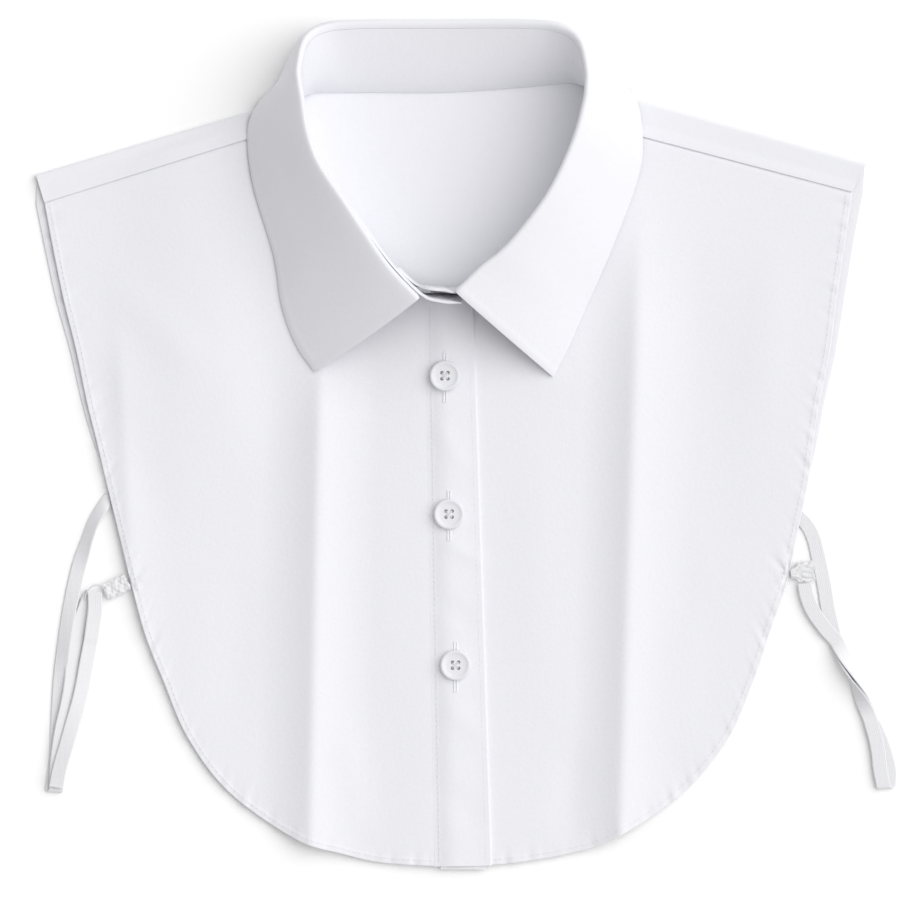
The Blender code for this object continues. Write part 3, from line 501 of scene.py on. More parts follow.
def plastic_look():
    look, shader = shader_of("button_plastic", PLASTIC_COLOUR, PLASTIC_ROUGHNESS)
    place = added(look, "TexCoord", {}).outputs["Object"]
    noise = added(look, "TexNoise", {"Vector": place, "Scale": GRAIN_SCALE, "Detail": GRAIN_DETAIL})
    grain = {"Height": noise.outputs["Fac"], "Strength": GRAIN_STRENGTH, "Distance": GRAIN_DEPTH * MM}
    feed(shader, {"Normal": added(look, "Bump", grain).outputs["Normal"]})
    feed(shader, {"Coat Weight": COAT_WEIGHT, "Coat Roughness": COAT_ROUGHNESS})
    return look


COTTON, THREAD, ELASTIC = (weave_look(name, *row) for name, row in WEAVES.items())


def ease(share):
    """0 below 0, 1 above 1, and a smooth step between."""
    held = np.clip(share, 0.0, 1.0)
    return held * held * (3.0 - 2.0 * held)


def bell(share):
    """1 at 0, and smoothly down to nothing on both sides."""
    return np.exp(-(share**2))


def rounded(share, least):
    """How thick a round edge is: least at its rim, and 1 from a share of 1 on."""
    return least + (1 - least) * np.sqrt(1 - (1 - np.clip(share, 0.0, 1.0)) ** 2)


def unit(vectors):
    return vectors / np.linalg.norm(vectors, axis=-1, keepdims=True)


def left_of(line):
    """The level direction to the left of a line at each of its points: along the collar, out of the neck."""
    along = np.gradient(line[:, :2], axis=0)
    return unit(np.stack([-along[:, 1], along[:, 0]], axis=1))


def curve_through(points, steps=CURVE_STEPS):
    """A smooth curve through the points, with that many steps between each two."""
    rows = np.asarray(points, float)
    padded = np.vstack([2 * rows[0] - rows[1], rows, 2 * rows[-1] - rows[-2]])
    t = np.linspace(0.0, 1.0, steps, endpoint=False)[:, None]
    stretches = [
        0.5 * (2 * b + (c - a) * t + (2 * a - 5 * b + 4 * c - d) * t**2 + (3 * b - a - 3 * c + d) * t**3)
        for a, b, c, d in zip(padded[:-3], padded[1:-2], padded[2:-1], padded[3:])
    ]
    return np.vstack([*stretches, rows[-1:]])


def lengths_along(line):
    return np.concatenate([[0.0], np.cumsum(np.linalg.norm(np.diff(line, axis=0), axis=1))])


def at_lengths(line, wanted):
    """The points at these lengths along a line."""
    lengths = lengths_along(line)
    return np.stack([np.interp(wanted, lengths, line[:, k]) for k in range(line.shape[1])], axis=1)


def at_shares(line, shares):
    """The points at these shares of a line's length."""
    return at_lengths(line, np.asarray(shares) * lengths_along(line)[-1])


def even(steps):
    return np.linspace(0.0, 1.0, steps + 1)


def between(start, end, shares):
    start, end = np.asarray(start, float), np.asarray(end, float)
    return start + np.asarray(shares)[:, None] * (end - start)


def patch(top, bottom, left, right, across, down):
    """The grid that fills four edges: top and bottom run along the shares across, the others along down."""
    u, v = across[None, :, None], down[:, None, None]
    rows = (1 - v) * top[None] + v * bottom[None]
    columns = (1 - u) * left[:, None] + u * right[:, None]
    corners = (1 - v) * ((1 - u) * top[0] + u * top[-1]) + v * ((1 - u) * bottom[0] + u * bottom[-1])
    return rows + columns - corners


def rimmed(grid):
    """Each row of a grid divided again, with its last points at fixed distances from its end."""
    made = []
    for row in grid:
        total = lengths_along(row)[-1]
        rim = total - np.array(RIM_STEPS)[::-1]
        inner = np.linspace(0.0, rim[0], FRONT_COLUMNS + 1)[:-1]
        made.append(at_lengths(row, np.concatenate([inner, rim])))
    return np.array(made)


def grid_faces(rows, columns):
    """The faces of a grid counted row by row, facing up where rows run down and columns right."""
    i, j = np.meshgrid(np.arange(rows - 1), np.arange(columns - 1), indexing="ij")
    first = (i * columns + j).ravel()
    return np.stack([first, first + columns, first + columns + 1, first + 1], axis=1)


def normals_of(points, faces):
    """The direction out of the surface at each point."""
    a, b, c, d = (points[faces[:, k]] for k in range(4))
    area = np.cross(c - a, d - b)
    normals = np.zeros_like(points)
    for k in range(4):
        np.add.at(normals, faces[:, k], area)
    return normals / np.maximum(np.linalg.norm(normals, axis=1), TINY)[:, None]


def linked(name, data):
    """An object with this data, in the scene."""
    made = bpy.data.objects.new(name, data)
    bpy.context.scene.collection.objects.link(made)
    return made


def piece(name, points, faces, nodes=(), look=COTTON, slot="cotton"):
    """A piece of the object from points in mm, with its material and the nodes that it stands for."""
    mesh = bpy.data.meshes.new(name)
    mesh.from_pydata((np.asarray(points) * MM).tolist(), [], [list(map(int, face)) for face in faces])
    mesh.shade_smooth()
    mesh.set_sharp_from_angle(angle=SHARP_ANGLE)
    mesh.materials.append(look)
    made = linked(name, mesh)
    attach(made, "root")
    if nodes:
        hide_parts(*nodes)
    return made


def walled(points, faces, over, under):
    """A closed thin wall: the surface moved out by over and in by under, and joined along its free edges."""
    normals = normals_of(points, faces)
    count = len(points)
    over, under = (np.broadcast_to(value, (count,))[:, None] for value in (over, under))
    directed = {(int(a), int(b)) for k in range(4) for a, b in faces[:, (k, (k + 1) % 4)]}
    free = sorted(edge for edge in directed if edge[::-1] not in directed)
    walls = [(b, a, a + count, b + count) for a, b in free]
    shell_faces = [*faces.tolist(), *(faces[:, ::-1] + count).tolist(), *walls]
    return np.vstack([points + normals * over, points - normals * under]), shell_faces


def cloth(name, grid, over, under, *rest):
    """A piece of thin cloth whose middle is a grid; over and under are half its thickness at each point."""
    rows, columns = grid.shape[:2]
    over, under = (np.broadcast_to(value, (rows, columns)).ravel() for value in (over, under))
    return piece(name, *walled(grid.reshape(-1, 3), grid_faces(rows, columns), over, under), *rest)


def circle(sides):
    """The cosine and the sine at each corner of a round section."""
    return [(math.cos(TURN * k / sides), math.sin(TURN * k / sides)) for k in range(sides)]


def ring_faces(rings):
    """The faces between each two rings of point numbers. A ring that repeats one point is a tip."""
    faces = []
    for low, high in zip(rings[:-1], rings[1:]):
        for k in range(len(low)):
            n = (k + 1) % len(low)
            faces.append(tuple(dict.fromkeys((low[k], low[n], high[n], high[k]))))
    return faces


def round_shape(centres, radii, across, up, sides):
    """A closed solid with a ring of points round each centre, in the plane of across and up."""
    points = [
        centre + radius * (wide * cosine + high * sine)
        for centre, radius, wide, high in zip(centres, radii, across, up)
        for cosine, sine in circle(sides)
    ]
    rings = np.arange(len(points)).reshape(-1, sides)[::-1].tolist()
    return points, [*ring_faces(rings), tuple(reversed(rings[0])), tuple(rings[-1])]


def tube(path, radius):
    """A closed round thread along a path."""
    along = unit(np.gradient(path, axis=0))
    across = unit(np.cross(along, UPWARD))
    return round_shape(path, [radius] * len(path), across, np.cross(across, along), THREAD_SIDES)


def together(shapes):
    """Several shapes as one: all their points, with their faces numbered on."""
    points, faces = [], []
    for more_points, more_faces in shapes:
        faces += [tuple(number + len(points) for number in face) for face in more_faces]
        points += list(more_points)
    return points, faces


def stitches(name, line):
    """A row of machine stitches along a line, each a short thread that dips into the cloth at both ends."""
    total = lengths_along(line)[-1]
    count = int(total / STITCH_PITCH)
    rings, up = np.array(STITCH_RINGS), np.array(UPWARD)
    thin = np.sqrt(np.maximum(1 - rings * rings, STITCH_LEAST))
    rise = STITCH_RADIUS * (STITCH_ARCH * thin - STITCH_SINK)
    shapes = []
    for middle in (np.arange(count) + 0.5) * total / count:
        at = at_lengths(line, middle + rings * STITCH_LENGTH / 2)
        aside = unit(np.cross(unit(at[-1] - at[0]), up))
        centres, radii = at + up * rise[:, None], STITCH_RADIUS * thin
        shapes.append(round_shape(centres, radii, [aside] * len(rings), [up] * len(rings), STITCH_SIDES))
    piece(name, *together(shapes), look=THREAD)


def column(name):
    """One point of each section of the collar, from its table."""
    return np.array(COLLAR, float)[:, COLLAR_POINTS[name]]


def neck_line(sections, inset):
    """The neck edge of a panel along these sections: the stand's seam, moved into the neck by inset."""
    seam = column("seam")
    return (seam - left_of(seam) * inset)[sections]


def distance_to(line, points):
    """How far each point is from a line of points."""
    best = np.full(points.shape[:-1], np.inf)
    for a, b in zip(line[:-1], line[1:]):
        run = b - a
        share = np.clip(((points - a) @ run) / (run @ run), 0.0, 1.0)
        best = np.minimum(best, np.linalg.norm(points - a - share[..., None] * run, axis=-1))
    return best


def fold_height(points):
    """How far the long folds lift the front at these points."""
    total = np.zeros(points.shape[:-1])
    for top, bottom, height, rise, fall, fade in FOLDS:
        down = (top[1] - points[..., 1]) / (top[1] - bottom[1])
        aside = points[..., 0] - (top[0] + down * (bottom[0] - top[0]))
        away = np.sqrt(aside**2 + FOLD_ROUND**2) - FOLD_ROUND
        across = np.clip(1 - away / np.where(aside < 0, rise, fall), 0.0, 1.0) ** 2
        total += height * across * ease((top[1] - points[..., 1]) / fade)
    return total


def crease_height(points):
    """How far the soft creases lift or lower the front."""
    total = np.zeros(points.shape[:-1])
    for start, end, height, width in CREASES:
        start, run = np.array(start), np.array(end) - np.array(start)
        share = ((points - start) @ run) / (run @ run)
        aside = np.abs((points - start) @ np.array([-run[1], run[0]])) / np.linalg.norm(run)
        total += height * bell(aside / width) * ease(share / CREASE_END) * ease((1 - share) / CREASE_END)
    return total


def dimple_height(points):
    """The dimple and the small folds round it where each tab pulls on its front."""
    total = np.zeros(points.shape[:-1])
    for middle, depth, reach, folds in DIMPLES.values():
        away = points - np.array(middle)
        distance = np.linalg.norm(away, axis=-1)
        round_it = np.sin(DIMPLE_FOLDS * np.arctan2(away[..., 1], away[..., 0]))
        total -= depth * bell(distance / reach)
        total += folds * round_it * bell((distance - reach) / reach)
    return total


def solid_height(points):
    """The height of the middle of the solid front at these level points."""
    seam = column("seam")
    neck = np.vstack([seam[FRONT_SECTIONS[side]][::-1] for side in FRONT_SECTIONS])
    low, high = NECK_LIFT_TOP
    near = bell(distance_to(neck, points) / NECK_LIFT_REACH)
    lift = NECK_LIFT * near * ease((high - points[..., 1]) / (high - low))
    return FRONT_LEVEL + lift + fold_height(points)


def front_height(points):
    """The height of the middle of the front's cloth at these level points."""
    return solid_height(points) + crease_height(points) + dimple_height(points)


def raised(level_grid, rise=0.0):
    """A level grid laid on the front's surface."""
    return np.concatenate([level_grid, (front_height(level_grid) + rise)[..., None]], axis=-1)


def pucker(along, inside):
    """The puckers at these lengths along a hem, this far inside its edge."""
    uneven = PUCKER_MEAN
    for wave in PUCKER_UNEVEN:
        uneven = uneven + PUCKER_SWING * np.sin(TURN * along / wave)
    waves = sum(height * np.sin(TURN * along / wave + phase) for wave, height, phase in PUCKERS)
    return uneven * waves * bell(inside / PUCKER_REACH)


def rim_thickness(inside, hem):
    """Half the thickness this far inside a hemmed edge: round at the edge, then the hem, then one ply."""
    thick = hem + ease((inside - HEM_WIDTH + HEM_STEP / 2) / HEM_STEP) * (PLY - hem)
    edge = np.clip(inside / hem, 0.0, 1.0)
    return thick * np.sqrt(np.maximum(1 - (1 - edge) ** 2, ROUND_LEAST))


def line_at(line, y):
    """Where a straight line is, across the garment, at these heights up it."""
    (x_top, y_top), (x_bottom, y_bottom) = line
    return x_top + (x_bottom - x_top) * (y_top - y) / (y_top - y_bottom)


def seam_line_y(side, x):
    """The height up the garment of the shoulder seam at these places across it."""
    _, _, (x_neck, y_neck), (x_arm, y_arm) = SHOULDERS[side]
    return y_neck + (x - x_neck) * (y_arm - y_neck) / (x_arm - x_neck)


def front_panel(side):
    """One front: a fan of rows from the neck to the hem, turned from the shoulder seam to the placket."""
    lap = np.array([0.0, SEAM_LAP])
    neck = neck_line(FRONT_SECTIONS[side], SEAM_INSET)
    if side == "left":
        line, tuck, top_y, neck = PLACKET_LEFT, PLACKET_TUCK, neck[0, 1], neck[:0:-1]
    else:
        line, tuck, top_y, neck = PLACKET_RIGHT, -PLACKET_TUCK, UNDER_TOP + SEAM_INSET, neck[:-1]
    centre_top, centre_bottom = (np.array((line_at(line, y) + tuck, y)) for y in (top_y, HEM_Y))
    outer = curve_through(np.array(EDGES[side])[:, :2])
    outer = outer[np.abs(outer[:, 0]) > abs(centre_bottom[0]) + CORNER_CLEARANCE]
    outer = np.vstack([outer[0] + lap, outer[1:], centre_bottom])
    inner = curve_through(np.vstack([np.array(SHOULDERS[side][2]) + lap, neck, centre_top]))
    down, across = even(FRONT_ROWS), even(FRONT_COLUMNS)
    left, right = at_shares(inner, down), at_shares(outer, down)
    top, bottom = between(inner[0], outer[0], across), between(centre_top, centre_bottom, across)
    level = rimmed(patch(top, bottom, left, right, across, down))
    inside = distance_to(outer, level)
    along = np.broadcast_to(lengths_along(right)[:, None], inside.shape)
    grid = raised(level)
    lapped = ease((level[..., 1] - seam_line_y(side, level[..., 0]) + SEAM_LAP) / SEAM_LAP)
    grid[..., 2] += pucker(along, inside) - SEAM_RAISE * lapped
    if side == "left":
        grid[..., 2] += meet_placket(level)
    else:
        grid, inside = grid[::-1], inside[::-1]
    over, under = rim_thickness(inside, HEM_OVER), rim_thickness(inside, HEM_UNDER)
    made = cloth(f"cloth_front_{side}", grid, over, under, [f"front_{side}"])
    hem_stitches(side, outer)


def hem_stitches(side, outer):
    """The stitches that hold a front's hem, on its surface."""
    start, end, step = HEM_STITCHES
    line = at_lengths(outer, np.arange(start, lengths_along(outer)[-1] - end, step))
    inner = line - left_of(line) * SIGN[side] * (HEM_WIDTH - HEM_STITCH_INSET)
    height = front_height(inner) + pucker(lengths_along(line) + start, HEM_WIDTH) + HEM_OVER
    if side == "left":
        height += meet_placket(inner)
    stitches(f"stitches_front_{side}", np.column_stack([inner, height]))


def back_edge(side):
    """The back's edge: the front's, moved out or in by the column beyond."""
    line = curve_through(np.array(EDGES[side]))
    return line[:, :2] + left_of(line) * SIGN[side] * line[:, 2:]


def wrapped(fold, seam):
    """The rows from the back over one shoulder's fold and forward to its seam."""
    forward = unit(seam - fold)
    centre = fold + forward * (FOLD_BEND + SOLID_CLOTH / 2)
    bend = FOLD_BEND + SOLID_CLOTH / 2 - PLY
    rows = []
    for angle in np.radians(np.linspace(-90.0, 90.0, WRAP_STEPS + 1))[1:]:
        level = centre - forward * bend * math.cos(angle)
        height = (BACK_LEVEL + FRONT_LEVEL) / 2 + FOLD_BEND * math.sin(angle)
        rows.append(np.column_stack([level, np.full(len(level), height)]))
    for share in even(STRIP_STEPS)[1:]:
        level = centre + share * (seam - centre)
        rise = SEAM_RAISE * ease((share - STRIP_RISE_FROM) / STRIP_RISE_OVER)
        height = FRONT_LEVEL + rise + crease_height(level) * ease(share / STRIP_CREASED)
        rows.append(np.column_stack([level, height]))
    return centre, rows


def back_panel():
    """The back, with the strips that wrap forward over the shoulders."""
    shares = even(SHOULDER_STEPS)
    tops, wraps = {}, {}
    for side, (fold_neck, fold_arm, seam_neck, seam_arm) in SHOULDERS.items():
        fold, seam = between(fold_neck, fold_arm, shares), between(seam_neck, seam_arm, shares)
        tops[side], wraps[side] = wrapped(fold, seam)
    seam = neck_line(BACK_SECTIONS, -SEAM_INSET)[1:-1]
    neck_curve = curve_through(np.vstack([tops["left"][:1], seam, tops["right"][:1]]))
    neck = at_shares(neck_curve, even(SHOULDER_STEPS // 2))
    top = np.vstack([tops["left"][::-1], neck[1:-1], tops["right"]])
    across = lengths_along(top) / lengths_along(top)[-1]
    down = even(BACK_ROWS)
    rails, hems = {}, {}
    corner = (ARMHOLE_ROWS - 1) * CURVE_STEPS
    for side in SHOULDERS:
        edge = back_edge(side)
        rails[side] = at_shares(np.vstack([tops[side][-1:], edge[: corner + 1]]), down)
        hems[side] = edge[corner:]
    bottom = at_shares(np.vstack([hems["left"], hems["right"][::-1]]), across)
    level = patch(top, bottom, rails["left"], rails["right"], across, down)
    main = np.concatenate([level, np.full((*level.shape[:2], 1), BACK_LEVEL)], axis=-1)
    points, faces = list(main.reshape(-1, 3)), [grid_faces(len(down), len(top))]
    last = len(top) - 1
    joined = {"left": np.arange(SHOULDER_STEPS, -1, -1), "right": np.arange(last - SHOULDER_STEPS, last + 1)}
    for side, rows in wraps.items():
        before = joined[side]
        for row in rows:
            here = np.arange(len(points), len(points) + len(row))
            points += list(row)
            quads = np.stack([before[:-1], before[1:], here[1:], here[:-1]], axis=1)
            faces.append(quads if side == "right" else quads[:, ::-1])
            before = here
    points, faces = np.array(points), np.vstack(faces)
    ring = np.vstack([rails["left"], bottom[1:-1], rails["right"][::-1]])
    inside = distance_to(ring, points[:, :2])
    thickness = np.maximum(rim_thickness(inside, HEM_UNDER), PLY * BACK_THINNEST)
    made = piece("cloth_back", *walled(points, faces, thickness, thickness), ["back_panel"])


def placket_sink(level):
    """How far the placket lies below its level: where it meets the front, and a little at its right."""
    inside = level[..., 0] - line_at(PLACKET_LEFT, level[..., 1])
    fall = PLACKET_FALL * ease((inside - PLACKET_FALL_FROM) / PLACKET_FALL_WIDTH)
    return PLACKET_SINK * (1 - ease(inside / PLACKET_SINK_WIDTH)) + fall


def meet_placket(points):
    """How far the left front rises on its way to the placket's edge."""
    aside = points[..., 0] - line_at(PLACKET_LEFT, points[..., 1])
    return PLACKET_SINK * ease(1 + aside / PLACKET_APPROACH)


def on_placket(level):
    """These level points, laid on the placket's cloth."""
    return np.column_stack([level, front_height(level) + PLACKET_RISE + BAND_OVER - placket_sink(level)])


def band(name, sides, top, bottoms, rise, over, under, node):
    """A straight band down the front, between the lines at its sides, with its edges turned under."""
    rows = []
    for share in even(BAND_ROWS):
        heights = [top + share * (bottom - top) for bottom in bottoms]
        start, end = ((line_at(line, y), y) for line, y in zip(sides, heights))
        rim = np.array(RIM_STEPS[:BAND_RIM]) / (end[0] - start[0])
        inner = np.linspace(rim[-1], 1 - rim[-1], BAND_COLUMNS)[1:-1]
        rows.append(between(start, end, np.concatenate([rim, inner, 1 - rim[::-1]])))
    level = np.array(rows)
    grid = raised(level, rise)
    from_left, from_right = level[..., 0] - level[:, :1, 0], level[:, -1:, 0] - level[..., 0]
    edge = rounded(np.minimum(from_left, from_right) / BAND_ROUND, BAND_EDGE)
    over = over * edge
    if rise:
        grid[..., 2] -= placket_sink(level)
        over = over + PLACKET_RIDGE * bell((from_right - PLACKET_RIDGE_INSET) / PLACKET_RIDGE_WIDTH)
        thin = PLACKET_THIN + (1 - PLACKET_THIN) * ease(from_left / PLACKET_THIN_WIDTH)
        over = np.minimum(over, BAND_OVER * thin)
    made = cloth(name, grid, over, under * edge, [node])


def shifted(line, by):
    return tuple((x + by, y) for x, y in line)


def placket():
    inset = PLACKET_TUCK + GAP
    sides = (shifted(PLACKET_LEFT, inset), shifted(PLACKET_RIGHT, -inset))
    low = HEM_Y - UNDER_PEEK
    band("cloth_under_placket", sides, UNDER_TOP, (low, low), 0.0, PLY, PLY, "under_placket")
    sides, ends = (PLACKET_LEFT, PLACKET_RIGHT), (HEM_Y, PLACKET_RIGHT[1][1])
    top = PLACKET_LEFT[0][1]
    band("cloth_placket", sides, top, ends, PLACKET_RISE, BAND_OVER, BAND_UNDER, "placket")
    start, end, step = PLACKET_STITCHES
    y = np.arange(top - start, HEM_Y + end, -step)
    for side, line in (("left", PLACKET_LEFT), ("right", PLACKET_RIGHT)):
        x = line_at(line, y) - SIGN[side] * PLACKET_STITCH_INSET
        stitches(f"stitches_placket_{side}", on_placket(np.column_stack([x, y])))


def past_shoulder(points):
    """How far each level point lies beyond the shoulders' folds or, between them, the back's neck seam."""
    seam = column("seam")[BACK_SECTIONS]
    past = points[..., 1] - np.interp(points[..., 0], seam[:, 0], seam[:, 1]) + SOLID_CLOTH
    for side, (fold_neck, fold_arm, _, _) in SHOULDERS.items():
        along = unit(np.array(fold_arm) - np.array(fold_neck))
        beyond = (points - np.array(fold_neck)) @ (SIGN[side] * np.array([-along[1], along[0]]))
        own = points[..., 0] < seam[0, 0] if side == "left" else points[..., 0] > seam[-1, 0]
        past = np.where(own, beyond, past)
    return past


def support(points):
    """The lowest height of the leaf's middle at these points: clear of the front, or on the floor past it."""
    over_front = front_height(points) + LEAF_CLEARANCE
    drop = ease((past_shoulder(points) - SOLID_CLOTH) / LEAF_DROP)
    return over_front + drop * (STIFF + FLOOR_CLEARANCE - over_front)


def clamped_curve(controls, samples):
    """Points on a quadratic curve from the first control to the last, which cuts the corners between."""
    knots = len(controls) - 2
    made = []
    for share in np.linspace(0.0, knots, samples):
        k = min(int(share), knots - 1)
        t = share - k
        a = controls[0] if k == 0 else (controls[k] + controls[k + 1]) / 2
        c = controls[-1] if k == knots - 1 else (controls[k + 1] + controls[k + 2]) / 2
        made.append((1 - t) ** 2 * a + 2 * t * (1 - t) * controls[k + 1] + t**2 * c)
    return made


def spanned(rails, samples):
    """The grid whose rows are bent over these rails, from the first to the last."""
    curves = [curve_through(rail, SECTIONS_BETWEEN) for rail in rails]
    return np.array([clamped_curve(controls, samples) for controls in np.stack(curves, axis=1)])


def from_first(grid):
    """How far each point of a grid is from the first row, along its column."""
    steps = np.linalg.norm(np.diff(grid, axis=0), axis=2)
    return np.vstack([np.zeros((1, grid.shape[1])), steps.cumsum(axis=0)])


def feet(seam):
    """Where the stand's wall starts: just above the front along a level line."""
    return np.column_stack([seam, solid_height(seam) + FOOT_RISE])


def collar_feet():
    """Where the stand's wall starts at each section of the collar."""
    made = feet(column("seam"))
    made[ON_PLACKET, 2] += PLACKET_RISE
    made[ON_BACK, 2] = BACK_LEVEL + BACK_FOOT_RISE
    return made


def collar_stand():
    outer, under = np.array(OUTER_END), np.array(UNDER_END)
    outer_feet = feet(outer[:, :2])
    outer_feet[:, 2] += PLACKET_RISE
    foot = np.vstack([outer_feet, collar_feet(), feet(under[:, :2])])
    top = np.vstack([outer[:, 2:], column("top"), under[:, 2:]])
    foot[: len(LIP_LEAN), 1] += LIP_LEAN
    foot[-len(UNDER_LEAN) :, 1] += UNDER_LEAN
    top[-len(under) - 1, :2] += UNDER_CORNER
    top[len(outer), :2] += LIP_CORNER
    low, high = foot + (top - foot) * STAND_LOW, foot + (top - foot) * STAND_HIGH
    grid = spanned((foot, low, high, top), STAND_SAMPLES)
    half = STAND_HALF * (STAND_TIP + (1 - STAND_TIP) * ease(from_first(grid) / STAND_TAPER))
    made = cloth("cloth_stand", grid, half, half, ["collar_stand"])


def collar_leaf():
    top, knee, edge = column("top"), column("knee"), column("edge")
    out = np.column_stack([left_of(top), np.zeros(len(top))])
    top[: len(LEAF_ASIDE)] += out[: len(LEAF_ASIDE)] * np.array(LEAF_ASIDE)[:, None]
    top[0, :2] += LEAF_CORNER
    up = unit(top - collar_feet())
    aside = unit(out - up * (out * up).sum(axis=1)[:, None])
    rise = top + up * (ROLL_UP + GAP)
    edges = np.column_stack([edge, support(edge)])
    turn = knee + LEAF_TURN * (edges - knee)
    grid = spanned((top + up * LEAF_START, rise, rise + aside * ROLL_OUT, knee, turn, edges), LEAF_SAMPLES)
    fall = grid[:, ROLL_SAMPLES:]
    fall[..., 2] = np.maximum(fall[..., 2], support(fall[..., :2]))
    from_left = from_first(grid)
    from_edge = from_first(grid.swapaxes(0, 1)[::-1])[::-1].T
    inside = np.minimum.reduce([from_left, from_left[-1] - from_left, from_edge])
    under = STIFF * rounded(inside / LEAF_ROUND, LEAF_EDGE)
    over = under + LEAF_RIDGE * bell((inside - LEAF_RIDGE_INSET) / LEAF_RIDGE_WIDTH)
    made = cloth("cloth_leaf", grid, over, under, ["collar_leaf"])


def bare(name, points, faces):
    """A helper mesh that is no piece of the object."""
    mesh = bpy.data.meshes.new(name)
    mesh.from_pydata(np.array(points).tolist(), [], faces)
    return linked(name, mesh)


def lathe(profile):
    """A turned solid on the Z axis, from its foot's middle out and up to its top's middle."""
    points, rings = [], []
    for radius, height in profile:
        corners = circle(BUTTON_SIDES if radius else 1)
        rings.append([len(points) + k % len(corners) for k in range(BUTTON_SIDES)])
        points += [(radius * cosine, radius * sine, height) for cosine, sine in corners]
    return points, ring_faces(rings)


def button_mesh():
    """The button's points and faces in mm, with its four holes cut."""
    across, up = np.array([(1.0, 0.0, 0.0), (0.0, 1.0, 0.0)])
    offsets = (-BUTTON_HOLE_OFFSET, BUTTON_HOLE_OFFSET)
    holes = [
        round_shape(
            np.array([(x, y, height) for height in BUTTON_HOLE_ENDS]),
            [BUTTON_HOLE] * 2,
            [across] * 2,
            [up] * 2,
            BUTTON_HOLE_SIDES,
        )
        for x in offsets
        for y in offsets
    ]
    blank = bare("button_blank", *lathe(BUTTON_PROFILE))
    cutter = bare("button_cutter", *together(holes))
    cut = blank.modifiers.new("holes", "BOOLEAN")
    cut.operation = "DIFFERENCE"
    cut.solver = "EXACT"
    cut.object = cutter
    made = bpy.data.meshes.new_from_object(blank.evaluated_get(bpy.context.evaluated_depsgraph_get()))
    shape = [tuple(v.co) for v in made.vertices], [tuple(p.vertices) for p in made.polygons]
    for helper in (blank, cutter):
        bpy.data.objects.remove(helper, do_unlink=True)
    return shape


def buttons():
    points, faces = button_mesh()
    plastic = plastic_look()
    for name, (x, y) in BUTTONS.items():
        rim = np.array([(x, y + side * BUTTON_FOOT) for side in (-1, 1)])
        seat = solid_height(rim).max() + PLACKET_RISE + BUTTON_SEAT
        piece(f"shaped_{name}", np.array(points) + (x, y, seat), faces, [name], plastic, "button")
        threads(name, np.array([x, y, seat]))
        buttonhole(name, x, y)


def threads(name, centre):
    """Two crossed pairs of thread over the button's middle, through its four holes."""
    share = np.linspace(-1.0, 1.0, THREAD_STEPS)
    drop = THREAD_DROP * np.maximum(0.0, np.abs(share) - THREAD_BEND) / (1 - THREAD_BEND)
    shapes = []
    for side in (-1, 1):
        for beside in (-THREAD_RADIUS, THREAD_RADIUS):
            x, y = share * BUTTON_HOLE_OFFSET + beside, side * (share * BUTTON_HOLE_OFFSET - beside)
            rise = (THREAD_RISE + THREAD_CROSSING * side) * (1 - share**THREAD_FLATNESS)
            path = np.column_stack([x, y, BUTTON_PROFILE[-1][1] + rise - drop])
            shapes.append(tube(path + centre, THREAD_RADIUS))
    piece(f"thread_{name}", *together(shapes), look=THREAD)


def buttonhole(name, x, y):
    """A vertical buttonhole: two close rows of thread over and under the button, with a bar at each end."""
    ends = (y + BUTTONHOLE_ABOVE, y - BUTTONHOLE_BELOW)
    down = np.linspace(*ends, BUTTONHOLE_STEPS)
    shapes = []
    for side in (-1, 1):
        row = on_placket(np.column_stack([np.full(len(down), x + side * BUTTONHOLE_HALF), down]))
        row[:, 0] += BUTTONHOLE_WOBBLE * np.sin(TURN * down / BUTTONHOLE_PITCH)
        shapes.append(tube(row, BUTTONHOLE_THREAD))
    for end in ends:
        across = np.linspace(x - BAR_HALF, x + BAR_HALF, BAR_STEPS)
        shapes.append(tube(on_placket(np.column_stack([across, np.full(BAR_STEPS, end)])), BAR_THREAD))
    piece(f"buttonhole_{name}", *together(shapes), look=THREAD)


def tape_line(stretches):
    """The rows along a tape, with a round turn from each stretch up or down to the next."""
    rows = []
    for stretch in stretches:
        line = curve_through(stretch, TAPE_STEPS)
        if rows:
            last, ahead = rows[-1][-1], unit(rows[-1][-1, :2] - rows[-1][-2, :2])
            radius = abs(line[0, 2] - last[2]) / 2
            turn = []
            for angle in np.radians(np.linspace(-90.0, 90.0, TAPE_FOLD_STEPS + 1))[1:-1]:
                row = last + (line[0] - last) * (1 + math.sin(angle)) / 2
                row[:2] += ahead * radius * math.cos(angle)
                turn.append(row)
            rows.append(np.array(turn))
        rows.append(line)
    return np.vstack(rows)


def strand(side):
    """One strand of the twisted pair: side is 1 for the one that starts on top and -1 for the other."""
    made = []
    for x, y, across, tilt in RIGHT_TWIST:
        a, t = math.radians(across), math.radians(tilt)
        middle = (TAPE / 2 + STRAND_APART) * abs(math.cos(t)) + TAPE_WIDTH / 2 * abs(math.sin(t))
        away = side * STRAND_APART
        x -= away * math.cos(a) * math.sin(t)
        y -= away * math.sin(a) * math.sin(t)
        made.append((x, y, middle + away * math.cos(t), across, tilt))
    return tuple(made)


